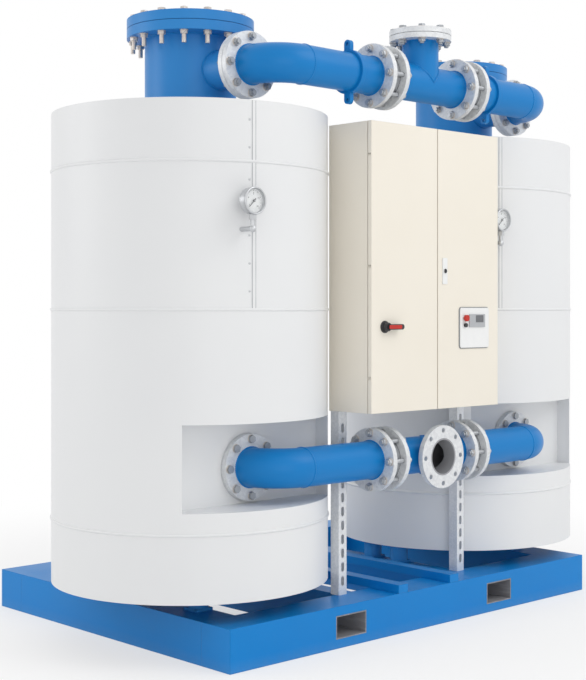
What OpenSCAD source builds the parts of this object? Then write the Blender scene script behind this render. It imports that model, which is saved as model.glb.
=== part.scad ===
// Twin-tower desiccant air dryer on a steel skid.
// Two clad pressure vessels are joined by flanged headers, with a control cabinet in front.
// X runs along the skid, the front is at -Y, and the origin is on the floor under the middle of the
// whole machine's box.

/* [Skid] */
// Length of the skid
skid_l = 2400; // [2200:10:2700]
// Depth of the skid from front to back
skid_w = 1720; // [1500:10:1900]
// Width of the box-section rails
rail_w = 180; // [150:5:190]
// Height of the box-section rails
rail_h = 180; // [150:5:220]
// Wall of the box sections
rail_wall = 8; // [5:1:12]
// Width of a cross-member
cross_w = 90; // [80:5:110]
// Distance from the skid's middle to the middle of a fork pocket
pocket_x = 510; // [490:5:700]
// Clear width of a fork pocket
pocket_w = 176; // [140:2:200]
// Clear height of a fork pocket
pocket_h = 90; // [70:2:100]
// Wall of a fork pocket's sleeve
pocket_wall = 5; // [3:1:8]
// Distance from the skid's middle to the middle of a conduit bar
bar_x = 176; // [120:2:200]
// Width of a conduit bar
bar_w = 62; // [40:2:80]
// Height of a conduit bar
bar_h = 38; // [20:1:50]
// Wall of a conduit bar
bar_wall = 3; // [2:1:5]

/* [Towers] */
// Distance from the skid's middle to a tower's axis
tower_x = 905; // [860:5:980]
// Distance from the skid's front to the towers' axes
tower_set = 616; // [590:2:720]
// Outer radius of the cladding
jacket_r = 612; // [580:2:616]
// Thickness of the cladding sheet
jacket_wall = 2; // [1:0.5:4]
// Height of the cladding's lower edge above the rails
jacket_lift = 86; // [60:2:120]
// Height of the bottom band
base_band_h = 280; // [200:2:320]
// Height of the main band, with the nozzle recess
main_band_h = 908; // [800:2:1000]
// Height of the upper band, with the gauge
upper_band_h = 602; // [500:2:700]
// Height of the top band
top_band_h = 250; // [200:2:350]
// Open joint that shows between two bands
seam_gap = 1.2; // [0.5:0.1:2]
// Length of the tongue that enters the next band
tongue_h = 20; // [10:1:40]
// How far the flat nozzle recess cuts into the cladding
recess_depth = 234; // [180:2:240]
// Width of the nozzle recess
recess_w = 820; // [780:10:860]
// Distance from the lower header's axis down to the recess's floor
recess_drop = 152; // [150:1:180]
// Distance from the lower header's axis up to the recess's roof
recess_rise = 204; // [160:2:210]
// Width of the vertical lap seam
lap_w = 14; // [10:1:40]
// Thickness of the lap seam's strip
lap_t = 1.5; // [1:0.5:3]
// Turn of the left tower's lap seam from the front
left_lap_turn = 14; // [0:1:30]
// Turn of the right tower's lap seam from the front
right_lap_turn = 28; // [0:1:30]

/* [Vessels] */
// Outer radius of the pressure vessel
shell_r = 500; // [460:5:520]
// Wall of the pressure vessel
shell_wall = 8; // [5:1:14]
// Crown radius of the dished ends
dish_r = 800; // [760:10:1000]
// Room between the vessel's crown and the cladding's top
crown_gap = 46; // [30:2:80]
// Outer radius of the support legs
leg_r = 44; // [35:1:50]
// Thickness of the legs' foot plates
foot_t = 12; // [8:1:20]
// Spread of the outer legs from the tower's axis, front and back
outer_leg_y = 250; // [200:5:280]
// Distance from a tower's axis to its inner legs and the cross-member under them
inner_leg_x = 535; // [520:5:540]
// Spread of the inner legs from the tower's axis, front and back
inner_leg_y = 90; // [80:5:120]
// Depth of the desiccant bed
bed_h = 880; // [700:5:920]
// Thickness of the bed's support plate
grid_t = 14; // [8:1:20]
// Outer radius of the filling neck
neck_r = 203.2; // [180:0.1:220]
// Wall of the filling neck
neck_wall = 9.5; // [6:0.5:14]
// Height of the neck flange's upper face above the cladding's top
neck_h = 384; // [370:2:440]
// Outer radius of the neck's flange and cover
cover_r = 282.5; // [270:0.5:300]
// Thickness of the neck's flange and of its cover
cover_t = 42; // [30:1:50]
// Bolt circle of the cover
cover_pcd = 515; // [500:1:530]
// Number of the cover's bolts
cover_bolts_n = 16; // [12:4:20]

/* [Pipework] */
// Outer radius of the header pipe
pipe_r = 84.15; // [80:0.05:88]
// Wall of the header pipe
pipe_wall = 7.1; // [5:0.1:9]
// Centre-line radius of the bends
bend_r = 152.4; // [150:0.1:190]
// Height of the lower header's axis
low_z = 785; // [760:5:800]
// Height of the upper header's axis above the cladding's top
up_rise = 186; // [160:1:190]
// Outer radius of the pipe flanges
flange_r = 142.5; // [140:0.5:150]
// Thickness of the pipe flanges
flange_t = 24; // [16:1:28]
// Bolt circle of the pipe flanges
flange_pcd = 240; // [236:1:244]
// Number of bolts in a pipe flange
flange_n = 8; // [4:4:8]
// Radius of the bolt holes in the pipe flanges
flange_hole_r = 11; // [10.5:0.1:12]
// Thickness of the blind flange
blind_t = 24; // [18:1:30]
// Thickness of the flange gaskets
gasket_t = 2; // [1:0.5:4]
// Outer radius of the flange gaskets
gasket_r = 106; // [100:0.5:107]
// How far the nozzle pad stands proud of the recess
pad_proud = 4; // [2:0.5:10]
// Distance from the tee's axis to the joint face of each inner flange
tee_half = 250; // [230:5:300]
// Distance from the upper header's axis to its vent flange's face
vent_h = 215; // [200:5:260]
// Distance from the lower header's axis to the port flange's face
port_l = 140; // [130:2:200]
// Distance from the skid's middle to a lug collar
collar_x = 470; // [430:5:540]
// Width of a lug collar's ring
collar_w = 22; // [14:1:40]
// Wall of a lug collar's ring
collar_wall = 12; // [8:1:20]
// Width of a collar's lug
lug_w = 36; // [28:1:44]
// Height of a collar's lug above its ring
lug_h = 44; // [36:1:60]
// Radius of the hole in a collar's lug
lug_hole_r = 8; // [5:0.5:10]

/* [Valves] */
// Face-to-face length of a wafer check valve
valve_l = 56; // [50:1:70]
// Outer radius of the valve's ring
valve_r = 106; // [100:0.5:107]
// Radius of the valve's seat
seat_r = 55; // [48:1:56]
// Length of the valve's seat
seat_l = 14; // [8:1:16]
// Radius of the valve's disc
disc_r = 61; // [58:0.5:62]
// Thickness of the valve's disc
disc_t = 8; // [5:1:10]
// Distance from the pipe's axis to the disc's hinge
disc_hinge_h = 66; // [65:0.5:67]
// Radius of the disc's hinge pin
disc_pin_r = 4; // [3:0.5:4.5]

/* [Cabinet] */
// Width of the cabinet
cab_w = 874; // [820:2:900]
// Depth of the cabinet's body, without its doors
cab_d = 236; // [220:2:320]
// Height of the cabinet
cab_h = 1275; // [1100:5:1320]
// Height of the cabinet's floor above the lower header's axis
cab_rise = 215; // [180:5:240]
// Sheet thickness of the cabinet and its doors
sheet_t = 2; // [1.5:0.5:3]
// Depth of the doors
door_d = 20; // [18:1:30]
// Open gap between the doors and the cabinet's rim
door_gap = 4; // [3:0.5:6]
// Gap between the two doors
door_split = 6; // [2:0.5:8]
// Width of the cabinet's folded rim
rim_w = 24; // [20:1:40]
// Distance from a door's outer edge to its hinge axis
hinge_in = 8; // [7.5:0.5:12]
// Distance from a door's face to its hinge axis
hinge_back = 10; // [8:0.5:12]
// Radius of the hinge pins
hinge_pin_r = 3; // [2:0.5:3.5]
// Height of a hinge knuckle
knuckle_h = 40; // [20:1:60]
// Distance from the cabinet's ends to its first and last hinges
hinge_end = 150; // [100:5:250]
// Thickness of the mounting plate
plate_t = 3; // [2:0.5:5]
// Width and depth of the slotted strut posts
strut_w = 50; // [40:1:60]
// Sheet thickness of the strut posts
strut_t = 2.5; // [2:0.5:4]
// Spacing of the slots in the strut posts
slot_pitch = 62; // [40:1:70]
// Length of the slots in the strut posts
slot_l = 42; // [20:1:46]
// Width of the slots in the strut posts
slot_w = 18; // [8:1:22]
// Distance from the cabinet's side to a post
post_inset = 5; // [0:1:40]
// Room between the lower header and the posts
post_gap = 16; // [5:1:20]

/* [Controls] */
// Height of the main switch above the cabinet's floor
switch_z = 377; // [300:1:600]
// Distance from the cabinet's left side to the main switch's axis
switch_x = 84; // [70:2:200]
// Radius of the main switch's round base
switch_r = 27; // [24:1:36]
// Length of the main switch's lever from its axis
lever_l = 94; // [60:1:110]
// Height of the lock plate
lock_h = 120; // [90:1:160]
// Width of the lock plate
lock_w = 32; // [24:1:36]
// Height of the lock's barrel above the cabinet's floor
lock_z = 629; // [500:1:800]
// Distance from the door's free edge to the lock's axis
lock_in = 45; // [36:1:60]
// Radius of the lock's barrel
barrel_r = 8; // [6:0.5:10]
// Width of the operator panel
hmi_w = 208; // [180:2:230]
// Height of the operator panel
hmi_h = 186; // [160:2:240]
// Thickness of the operator panel
hmi_t = 7; // [5:1:12]
// Distance from the cabinet's right side to the operator panel
hmi_in = 76; // [40:1:90]
// Height of the operator panel above the cabinet's floor
hmi_z = 275; // [200:1:400]
// Travel of the push buttons
button_travel = 5; // [3:0.5:8]

/* [Gauges] */
// Turn of the left tower's gauge from the front
left_gauge_turn = 19; // [15:1:30]
// Turn of the right tower's gauge from the front
right_gauge_turn = 33; // [20:1:40]
// Radius of a gauge's case
gauge_r = 54; // [40:1:63]
// Depth of a gauge's case
gauge_d = 38; // [30:1:50]
// Height of the gauges above the main band's upper edge
gauge_rise = 436; // [350:2:460]
// Distance from the impulse line up to the gauge's middle
gauge_up = 112; // [100:1:140]
// Radius of the impulse line
line_r = 10; // [6:0.5:12]

/* [Hidden] */
$fn = 96;

paint_blue = "#2480C4";
clad_white = "#E5E6E6";
zinc_grey = "#C4C6C9";
cream = "#F5EEE2";
dark = "#3A3A3C";

// Clearances
fit_gap = 0.3;
run_gap = 0.05;
soft_gap = 0.5;
cut = 1;

// How far the header's axis and the doors' faces lie behind the skid's front
head_set = tower_set - (jacket_r - recess_depth) - pad_proud - gasket_t - flange_t - bend_r;
door_set = head_set + pipe_r + post_gap + strut_w + post_inset - cab_d - door_gap - door_d;
switch_t = 8;
hub_t = 16;
lever_t = 16;
handle_reach = switch_t + fit_gap + hub_t + lever_t / 2;
foremost = min(head_set - port_l, door_set - handle_reach);

// Skid and towers
front_y = -round((skid_w + foremost) / 2);
skid_y = front_y + skid_w / 2;
tower_y = front_y + tower_set;
jacket_z0 = rail_h + jacket_lift;
main_z0 = jacket_z0 + base_band_h;
upper_z0 = main_z0 + main_band_h;
top_z0 = upper_z0 + upper_band_h;
jacket_z1 = top_z0 + top_band_h;
flat_y = tower_y - (jacket_r - recess_depth);
recess_z0 = low_z - recess_drop;
recess_h = recess_drop + recess_rise;
pocket_out_w = pocket_w + 2 * pocket_wall;
pocket_out_h = pocket_h + 2 * pocket_wall;
pocket_z0 = (rail_h - pocket_out_h) / 2;

// Vessels
crown_z = jacket_z1 - crown_gap;
sump_z = low_z + bend_r;
knuckle_drop = dish_r - sqrt(dish_r * dish_r - shell_r * shell_r);
bore_r = pipe_r - pipe_wall;
neck_z = jacket_z1 + neck_h;
grid_z = sump_z + knuckle_drop + grid_t;
pad_y = flat_y - pad_proud;
pad_t = 34;
leg_lap = 120;
leg_top_z = sump_z + knuckle_drop + leg_lap;
hole_rings = 4;
ring_pitch = shell_r / 5.2;
grid_hole_r = shell_r / 14;

// Headers
joint_y = pad_y - gasket_t;
head_y = front_y + head_set;
up_z = jacket_z1 + up_rise;
valve_x0 = tee_half + gasket_t;
valve_x1 = valve_x0 + valve_l;
pair_x = valve_x1 + gasket_t;
port_y = head_y - port_l;
vent_z = up_z + vent_h;
shut_gap = 0.3;
disc_z = seat_l + shut_gap;
disc_knuckle_r = disc_pin_r + 3;
disc_hinge_z = disc_z + disc_knuckle_r + shut_gap;
disc_pin_half = 50;

// Bolts: shank radius, hexagon radius across corners, head height, nut height, free end
pipe_bolt = [10, 17.3, 12.5, 16, 8];
cover_bolt = [10, 17.3, 12.5, 16, 38];
stud_r = 9.9;
stud_depth = 24;
hole_slack = 1;

// Cabinet
post_y0 = head_y + pipe_r + post_gap;
post_x = cab_w / 2 - post_inset - strut_w / 2;
cab_y1 = post_y0 + strut_w + post_inset;
cab_y0 = cab_y1 - cab_d;
cab_z0 = low_z + cab_rise;
cab_z1 = cab_z0 + cab_h;
door_y0 = front_y + door_set;
door_w = (cab_w - door_split) / 2;
hinge_x = cab_w / 2 - hinge_in;
hinge_y = door_y0 + hinge_back;
knuckle_r = hinge_pin_r + 2.5;
arm_h = 6;
arm_w = 6;
hinge_zs = [cab_z0 + hinge_end, (cab_z0 + cab_z1) / 2, cab_z1 - hinge_end];
plate_margin = 50;
plate_foot_l = 22;
plate_foot_r = 8;
plate_y = cab_y1 - sheet_t - plate_foot_l;
// Gear on the mounting plate: height of each row as a share of the plate, and how far its gear stands out
gear_rows = [[0.24, 90], [0.52, 76], [0.8, 100]];
gear_n = 5;
gear_h = 99;
gear_side = 0.1;
gear_share = 0.13;
gear_step = 0.155;
din_w = 35;
din_t = 8;
din_side = 0.08;

// Controls
switch_shaft_r = 6;
hub_r = 19;
lever_w = 24;
switch_pos = [-cab_w / 2 + switch_x, door_y0, cab_z0 + switch_z];
lock_t = 5;
lock_corner_r = 3;
lock_pos = [door_split / 2 + lock_in, door_y0, cab_z0 + lock_z];
cam_l = 46;
cam_w = 16;
cam_t = 3;
key_w = 2.4;
key_l = 9.6;
hmi_x0 = cab_w / 2 - hmi_in - hmi_w;
hmi_z0 = cab_z0 + hmi_z;
hmi_corner_r = 12;
button_in = 33;
stop_down = 48;
start_down = 81;
stop_pos = [hmi_x0 + button_in, door_y0 - hmi_t, hmi_z0 + hmi_h - stop_down];
start_pos = [hmi_x0 + button_in, door_y0 - hmi_t, hmi_z0 + hmi_h - start_down];
display_w = 114;
display_h = 60;
display_t = 5;
display_in = 61;
display_down = 30;
display_pos = [hmi_x0 + display_in, door_y0 - hmi_t, hmi_z0 + hmi_h - display_down - display_h];
screen_w = 57;
screen_h = 33;
screen_in = 45;
screen_up = 22;
screen_deep = 2;
button_stem_r = 8;
button_stem_l = 34;

// Gauges
gauge_z = upper_z0 + gauge_rise;
line_z = gauge_z - gauge_up;
gauge_off = 46;
needle_l = 37;
needle_tail = 12;
needle_hub_r = 5;
needle_hub_h = 4;
needle_leaf = 1.2;
needle_back = 8;
dial_depth = 12;
nut_h = 20;
nut_drop = 22;
spindle_r = 2;
glass_t = 3;
bezel = 4;

function lap_turn(side) = side < 0 ? left_lap_turn : right_lap_turn;
function gauge_turn(side) = side < 0 ? left_gauge_turn : right_gauge_turn;
function gauge_x(side) = side * tower_x - jacket_r * sin(gauge_turn(side));
function skin_y(side) = tower_y - jacket_r * cos(gauge_turn(side));
function gauge_y(side) = skin_y(side) - gauge_off;
function dish_height(r) = dish_r - sqrt(dish_r * dish_r - r * r);

// Directions for shapes drawn along +Z
module to_front() { rotate([90, 0, 0]) children(); }
module to_right() { rotate([0, 90, 0]) children(); }
module at_tower(side) { translate([side * tower_x, tower_y, 0]) children(); }
module mirrored(side) { mirror([side < 0 ? 0 : 1, 0, 0]) children(); }
module on_circle(n, r) {
    for (i = [0 : n - 1]) rotate(i * 360 / n) translate([r, 0, 0]) children();
}

module tube(r_out, r_in, h) {
    difference() {
        cylinder(r = r_out, h = h);
        translate([0, 0, -cut]) cylinder(r = r_in, h = h + 2 * cut);
    }
}

// A plate with rounded corners, centred on the origin
module rounded_plate(w, h, r, t) {
    translate([-w / 2 + r, -h / 2, 0]) cube([w - 2 * r, h, t]);
    translate([-w / 2, -h / 2 + r, 0]) cube([w, h - 2 * r, t]);
    for (x = [-1, 1], y = [-1, 1]) translate([x * (w / 2 - r), y * (h / 2 - r), 0]) cylinder(r = r, h = t);
}

// Skid
module long_rail(side) {
    y0 = skid_y + side * (skid_w - rail_w) / 2 - rail_w / 2;
    difference() {
        translate([-skid_l / 2, y0, 0]) cube([skid_l, rail_w, rail_h]);
        translate([-skid_l / 2 + rail_wall, y0 + rail_wall, rail_wall])
            cube([skid_l - 2 * rail_wall, rail_w - 2 * rail_wall, rail_h - 2 * rail_wall]);
        for (s = [-1, 1])
            translate([s * pocket_x - pocket_out_w / 2 - fit_gap, y0 - cut, pocket_z0 - fit_gap])
                cube([pocket_out_w + 2 * fit_gap, rail_w + 2 * cut, pocket_out_h + 2 * fit_gap]);
    }
}

module beam(x, w, h, wall, y0, y1) {
    translate([x - w / 2, y0, 0]) difference() {
        cube([w, y1 - y0, h]);
        translate([wall, -cut, wall]) cube([w - 2 * wall, y1 - y0 + 2 * cut, h - 2 * wall]);
    }
}

module front_rail() { color(paint_blue) long_rail(-1); }
module rear_rail() { color(paint_blue) long_rail(1); }

module end_rails() {
    reach = skid_w / 2 - rail_w;
    color(paint_blue) for (s = [-1, 1])
        beam(s * (skid_l - rail_w) / 2, rail_w, rail_h, rail_wall, skid_y - reach, skid_y + reach);
}

module cross_members() {
    reach = skid_w / 2 - rail_w;
    color(paint_blue) for (s = [-1, 1])
        beam(s * (tower_x - inner_leg_x), cross_w, rail_h, rail_wall, skid_y - reach, skid_y + reach);
}

module fork_pockets() {
    color(dark) for (s = [-1, 1], e = [-1, 1])
        translate([0, skid_y + e * (skid_w - rail_w) / 2, pocket_z0])
            beam(s * pocket_x, pocket_out_w, pocket_out_h, pocket_wall, -rail_w / 2, rail_w / 2);
}

module conduit_bars() {
    color(paint_blue) for (s = [-1, 1]) translate([s * bar_x - bar_w / 2, front_y, rail_h]) difference() {
        cube([bar_w, skid_w, bar_h]);
        translate([bar_wall, bar_wall, bar_wall])
            cube([bar_w - 2 * bar_wall, skid_w, bar_h - 2 * bar_wall]);
    }
}

// Pressure vessels
module dished(r, crown, z0, z1) {
    intersection() {
        translate([0, 0, z0]) cylinder(r = r, h = z1 - z0);
        translate([0, 0, z0 + crown]) sphere(r = crown);
        translate([0, 0, z1 - crown]) sphere(r = crown);
    }
}

// A quarter bend from straight down to straight forward, ending at the origin of its lower leg
module nozzle_bend(r) {
    translate([0, -bend_r, bend_r]) rotate([0, 90, 0]) rotate_extrude(angle = 90)
        translate([bend_r, 0]) circle(r = r);
}

module nozzle_run(r, reach) {
    translate([0, 0, low_z]) {
        nozzle_bend(r);
        translate([0, -bend_r, 0]) to_front() cylinder(r = r, h = reach - bend_r);
        translate([0, 0, bend_r]) cylinder(r = r, h = shell_wall * 2);
    }
}

// Legs of a left tower: the outer pair stands on the end rail, the inner pair on the cross-member
module vessel_legs() {
    outer_dx = -(skid_l / 2 - rail_w + leg_r + hole_slack - tower_x);
    for (e = [-1, 1]) {
        outer_top = sump_z + dish_height(norm([outer_dx, outer_leg_y])) + leg_r;
        translate([outer_dx, e * outer_leg_y, rail_h]) {
            cylinder(r = leg_r, h = outer_top - rail_h);
            translate([-leg_r, -leg_r, 0]) cube([2 * leg_r, 2 * leg_r, foot_t]);
        }
        translate([inner_leg_x, e * inner_leg_y, rail_h]) {
            cylinder(r = leg_r, h = leg_top_z - rail_h);
            translate([-leg_r, -leg_r, 0]) cube([2 * leg_r, 2 * leg_r, foot_t]);
            translate([-2 * leg_r, -leg_r / 2, leg_top_z - rail_h - 2 * leg_r])
                cube([2 * leg_r, leg_r, 2 * leg_r]);
        }
    }
}

module bed_support() {
    translate([0, 0, grid_z - grid_t]) difference() {
        cylinder(r = shell_r - shell_wall / 2, h = grid_t);
        for (ring = [1 : hole_rings]) translate([0, 0, -cut])
            on_circle(6 * ring, ring * ring_pitch) cylinder(r = grid_hole_r, h = grid_t + 2 * cut);
    }
}

// Everything welded to one left vessel, drawn about its own axis
module vessel() {
    inner_neck = neck_r - neck_wall;
    neck_l = neck_z - crown_z + knuckle_drop;
    branch_l = tower_y - (joint_y + gasket_t);
    pad_reach = tower_y - pad_y;
    difference() {
        union() {
            dished(shell_r, dish_r, sump_z, crown_z);
            translate([0, 0, crown_z - knuckle_drop]) cylinder(r = neck_r, h = neck_l);
            translate([0, 0, neck_z - cover_t]) cylinder(r = cover_r, h = cover_t);
            translate([0, 0, up_z]) to_front() cylinder(r = pipe_r, h = branch_l);
            nozzle_run(pipe_r, pad_reach - cut);
            vessel_legs();
        }
        dished(shell_r - shell_wall, dish_r - shell_wall, sump_z + shell_wall, crown_z - shell_wall);
        translate([0, 0, crown_z - knuckle_drop]) cylinder(r = inner_neck, h = neck_l + cut);
        translate([0, 0, up_z]) to_front() cylinder(r = bore_r, h = branch_l + cut);
        nozzle_run(bore_r, pad_reach + cut);
        translate([0, 0, neck_z - cover_t - cut]) on_circle(cover_bolts_n, cover_pcd / 2)
            cylinder(r = cover_bolt[0] + hole_slack, h = cover_t + 2 * cut);
    }
    bed_support();
}

module left_vessel() { color(paint_blue) at_tower(-1) vessel(); }
module right_vessel() { color(paint_blue) at_tower(1) mirrored(1) vessel(); }

module desiccant_bed(side) {
    at_tower(side) translate([0, 0, grid_z])
        cylinder(r = shell_r - shell_wall - soft_gap, h = bed_h);
}

module left_desiccant_bed() { color("#E9E2D2") desiccant_bed(-1); }
module right_desiccant_bed() { color("#E9E2D2") desiccant_bed(1); }

// Mineral wool from above the legs to the cladding's top
module insulation(side) {
    wool_r = jacket_r - 2 * jacket_wall - 2 * fit_gap - soft_gap;
    wool_z0 = leg_top_z + leg_r;
    wool_z1 = jacket_z1 - jacket_wall - soft_gap;
    difference() {
        at_tower(side) translate([0, 0, wool_z0]) cylinder(r = wool_r, h = wool_z1 - wool_z0);
        at_tower(side) dished(shell_r + soft_gap, dish_r + soft_gap, sump_z, crown_z + soft_gap);
        at_tower(side) translate([0, 0, wool_z0]) cylinder(r = neck_r + soft_gap, h = wool_z1);
        translate([gauge_x(side), tower_y, line_z]) to_front() cylinder(r = line_r + soft_gap, h = jacket_r);
    }
}

module left_insulation() { color("#D9C989") insulation(-1); }
module right_insulation() { color("#D9C989") insulation(1); }

module neck_cover(side) {
    at_tower(side) translate([0, 0, neck_z + gasket_t]) difference() {
        cylinder(r = cover_r, h = cover_t);
        translate([0, 0, -cut]) on_circle(cover_bolts_n, cover_pcd / 2)
            cylinder(r = cover_bolt[0] + hole_slack, h = cover_t + 2 * cut);
    }
}

module left_neck_cover() { color(paint_blue) neck_cover(-1); }
module right_neck_cover() { color(paint_blue) neck_cover(1); }

// Cladding: each band has a tongue that enters the band above it
module band_ring(z0, z1) {
    inner = jacket_r - jacket_wall;
    tongue_r = inner - fit_gap;
    rotate_extrude() {
        translate([inner, z0]) square([jacket_wall, z1 - z0]);
        translate([tongue_r - jacket_wall, z1 - tongue_h])
            square([jacket_wall, 2 * tongue_h]);
        translate([tongue_r - jacket_wall, z1 - tongue_h])
            square([jacket_wall + 2 * fit_gap, tongue_h / 2]);
    }
}

module base_band(side) { at_tower(side) band_ring(jacket_z0, main_z0 - seam_gap); }
module left_base_band() { color(clad_white) base_band(-1); }
module right_base_band() { color(clad_white) base_band(1); }

// The main band is boxed in to a flat recess round the lower nozzle
module main_band(side) {
    flat_r = jacket_r - recess_depth;
    box_w = recess_w + 2 * jacket_wall;
    box_h = recess_h + 2 * jacket_wall;
    at_tower(side) difference() {
        union() {
            difference() {
                band_ring(main_z0, upper_z0 - seam_gap);
                translate([-recess_w / 2, -2 * jacket_r, recess_z0])
                    cube([recess_w, 2 * jacket_r - flat_r, recess_h]);
            }
            intersection() {
                translate([0, 0, recess_z0 - jacket_wall])
                    cylinder(r = jacket_r - jacket_wall / 2, h = box_h);
                difference() {
                    translate([-box_w / 2, -jacket_r, recess_z0 - jacket_wall])
                        cube([box_w, recess_depth + jacket_wall, box_h]);
                    translate([-recess_w / 2, -jacket_r - cut, recess_z0])
                        cube([recess_w, recess_depth + cut, recess_h]);
                }
            }
        }
        translate([0, 0, low_z]) to_front() cylinder(r = flange_r + soft_gap, h = jacket_r);
    }
}

module left_main_band() { color(clad_white) main_band(-1); }
module right_main_band() { color(clad_white) main_band(1); }

// Strip of the sheet that laps over the vertical seam
module lap_strip(side, z0, z1) {
    span = lap_w / jacket_r * 180 / PI;
    root = jacket_wall / 4;
    rotate(270 - lap_turn(side) - span / 2) rotate_extrude(angle = span)
        translate([jacket_r - root, z0]) square([lap_t + root, z1 - z0]);
}

module upper_band(side) {
    difference() {
        at_tower(side) {
            band_ring(upper_z0, top_z0 - seam_gap);
            lap_strip(side, upper_z0 + lap_t, top_z0 - seam_gap - lap_t);
        }
        translate([gauge_x(side), tower_y, line_z]) to_front()
            cylinder(r = line_r + soft_gap, h = 2 * jacket_r);
    }
}

module left_upper_band() { color(clad_white) upper_band(-1); }
module right_upper_band() { color(clad_white) upper_band(1); }

module top_band(side) {
    at_tower(side) {
        tube_h = jacket_z1 - top_z0;
        translate([0, 0, top_z0]) tube(jacket_r, jacket_r - jacket_wall, tube_h);
        translate([0, 0, jacket_z1 - jacket_wall])
            tube(jacket_r - jacket_wall / 2, neck_r + soft_gap, jacket_wall);
        lap_strip(side, top_z0 + lap_t, jacket_z1 - lap_t);
    }
}

module left_top_band() { color(clad_white) top_band(-1); }
module right_top_band() { color(clad_white) top_band(1); }

// Pipework: a bend runs from the tower's flange to the outer flange of a valve pair
module bend_core(r, extra) {
    run_x = tower_x - bend_r;
    translate([-tower_x, joint_y + extra, 0]) to_front() cylinder(r = r, h = flange_t + extra + fit_gap);
    translate([-run_x, head_y + bend_r, 0]) rotate(180) rotate_extrude(angle = 90)
        translate([bend_r, 0]) circle(r = r);
    translate([-run_x, head_y, 0]) to_right() cylinder(r = r, h = run_x - pair_x + extra);
}

module header_bend(side, z) {
    mirrored(side) translate([0, 0, z]) difference() {
        bend_core(pipe_r, 0);
        bend_core(bore_r, cut);
    }
}

module left_upper_bend() { color(paint_blue) header_bend(-1, up_z); }
module right_upper_bend() { color(paint_blue) header_bend(1, up_z); }
module left_lower_bend() { color(paint_blue) header_bend(-1, low_z); }
module right_lower_bend() { color(paint_blue) header_bend(1, low_z); }

module tee(branch_l) {
    difference() {
        union() {
            translate([-tee_half, 0, 0]) to_right() cylinder(r = pipe_r, h = 2 * tee_half);
            cylinder(r = pipe_r, h = branch_l);
        }
        translate([-tee_half - cut, 0, 0]) to_right() cylinder(r = bore_r, h = 2 * (tee_half + cut));
        cylinder(r = bore_r, h = branch_l + cut);
    }
}

module upper_tee() { color(paint_blue) translate([0, head_y, up_z]) tee(vent_h); }
module lower_tee() { color(paint_blue) translate([0, head_y, low_z]) to_front() tee(port_l); }

module plate_flange() {
    difference() {
        cylinder(r = flange_r, h = flange_t);
        translate([0, 0, -cut]) cylinder(r = pipe_r + fit_gap, h = flange_t + 2 * cut);
        translate([0, 0, -cut]) on_circle(flange_n, flange_pcd / 2)
            cylinder(r = flange_hole_r, h = flange_t + 2 * cut);
    }
}

module tee_flange(side, z) {
    translate([side * (tee_half - flange_t / 2) - flange_t / 2, head_y, z]) to_right() plate_flange();
}

// Thick ring welded round a vessel's lower nozzle, with blind holes for the bend's bolts
module nozzle_pad(side) {
    translate([side * tower_x, pad_y + pad_t, low_z]) to_front() difference() {
        cylinder(r = flange_r, h = pad_t);
        translate([0, 0, -cut]) cylinder(r = pipe_r + fit_gap, h = pad_t + 2 * cut);
        translate([0, 0, pad_t - stud_depth]) on_circle(flange_n, flange_pcd / 2)
            cylinder(r = pipe_bolt[0], h = stud_depth + cut);
    }
}

module weld_flanges() {
    color(zinc_grey) for (s = [-1, 1]) {
        tee_flange(s, low_z);
        nozzle_pad(s);
    }
}

module pipe_flanges() {
    color(zinc_grey) {
        for (s = [-1, 1], z = [low_z, up_z]) {
            translate([s * tower_x, joint_y, z]) to_front() plate_flange();
            translate([s * (pair_x + flange_t / 2) - flange_t / 2, head_y, z]) to_right() plate_flange();
        }
        for (s = [-1, 1]) {
            tee_flange(s, up_z);
            translate([s * tower_x, joint_y + gasket_t + flange_t, up_z]) to_front() plate_flange();
        }
        translate([0, head_y, vent_z - flange_t]) plate_flange();
    }
}

module port_flange() { color(zinc_grey) translate([0, port_y + flange_t, low_z]) to_front() plate_flange(); }

module vent_blind() {
    color(zinc_grey) translate([0, head_y, vent_z + gasket_t]) difference() {
        cylinder(r = flange_r, h = blind_t);
        translate([0, 0, -cut]) on_circle(flange_n, flange_pcd / 2)
            cylinder(r = flange_hole_r, h = blind_t + 2 * cut);
    }
}

module pipe_gasket() { tube(gasket_r, pipe_r + fit_gap, gasket_t); }

module gaskets() {
    color(dark) {
        for (s = [-1, 1], z = [low_z, up_z]) {
            translate([s * tower_x, joint_y + gasket_t, z]) to_front() pipe_gasket();
            for (x = [tee_half, valve_x1])
                translate([s * (x + gasket_t / 2) - gasket_t / 2, head_y, z]) to_right() pipe_gasket();
        }
        translate([0, head_y, vent_z]) pipe_gasket();
        for (s = [-1, 1]) at_tower(s) translate([0, 0, neck_z])
            tube(cover_pcd / 2 - cover_bolt[0] - 2 * hole_slack, neck_r - neck_wall, gasket_t);
    }
}

// Wafer check valves, drawn with the flow along +Z and the hinge pin above the bore
module valve_body() {
    difference() {
        cylinder(r = valve_r, h = valve_l);
        translate([0, 0, -cut]) cylinder(r = seat_r, h = valve_l + 2 * cut);
        translate([0, 0, seat_l]) cylinder(r = bore_r, h = valve_l);
        translate([disc_hinge_h, disc_pin_half + run_gap, disc_hinge_z]) to_front()
            cylinder(r = disc_pin_r + run_gap, h = 2 * (disc_pin_half + run_gap));
    }
}

module valve_disc() {
    grip = disc_knuckle_r * 3;
    translate([0, 0, disc_z]) cylinder(r = disc_r, h = disc_t);
    translate([disc_hinge_h, disc_pin_half, disc_hinge_z]) to_front()
        cylinder(r = disc_pin_r, h = 2 * disc_pin_half);
    translate([disc_hinge_h, grip, disc_hinge_z]) to_front() cylinder(r = disc_knuckle_r, h = 2 * grip);
    translate([disc_hinge_h - 2 * disc_knuckle_r, -grip, disc_z + disc_t / 2])
        cube([2 * disc_knuckle_r, 2 * grip, disc_knuckle_r]);
}

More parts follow.
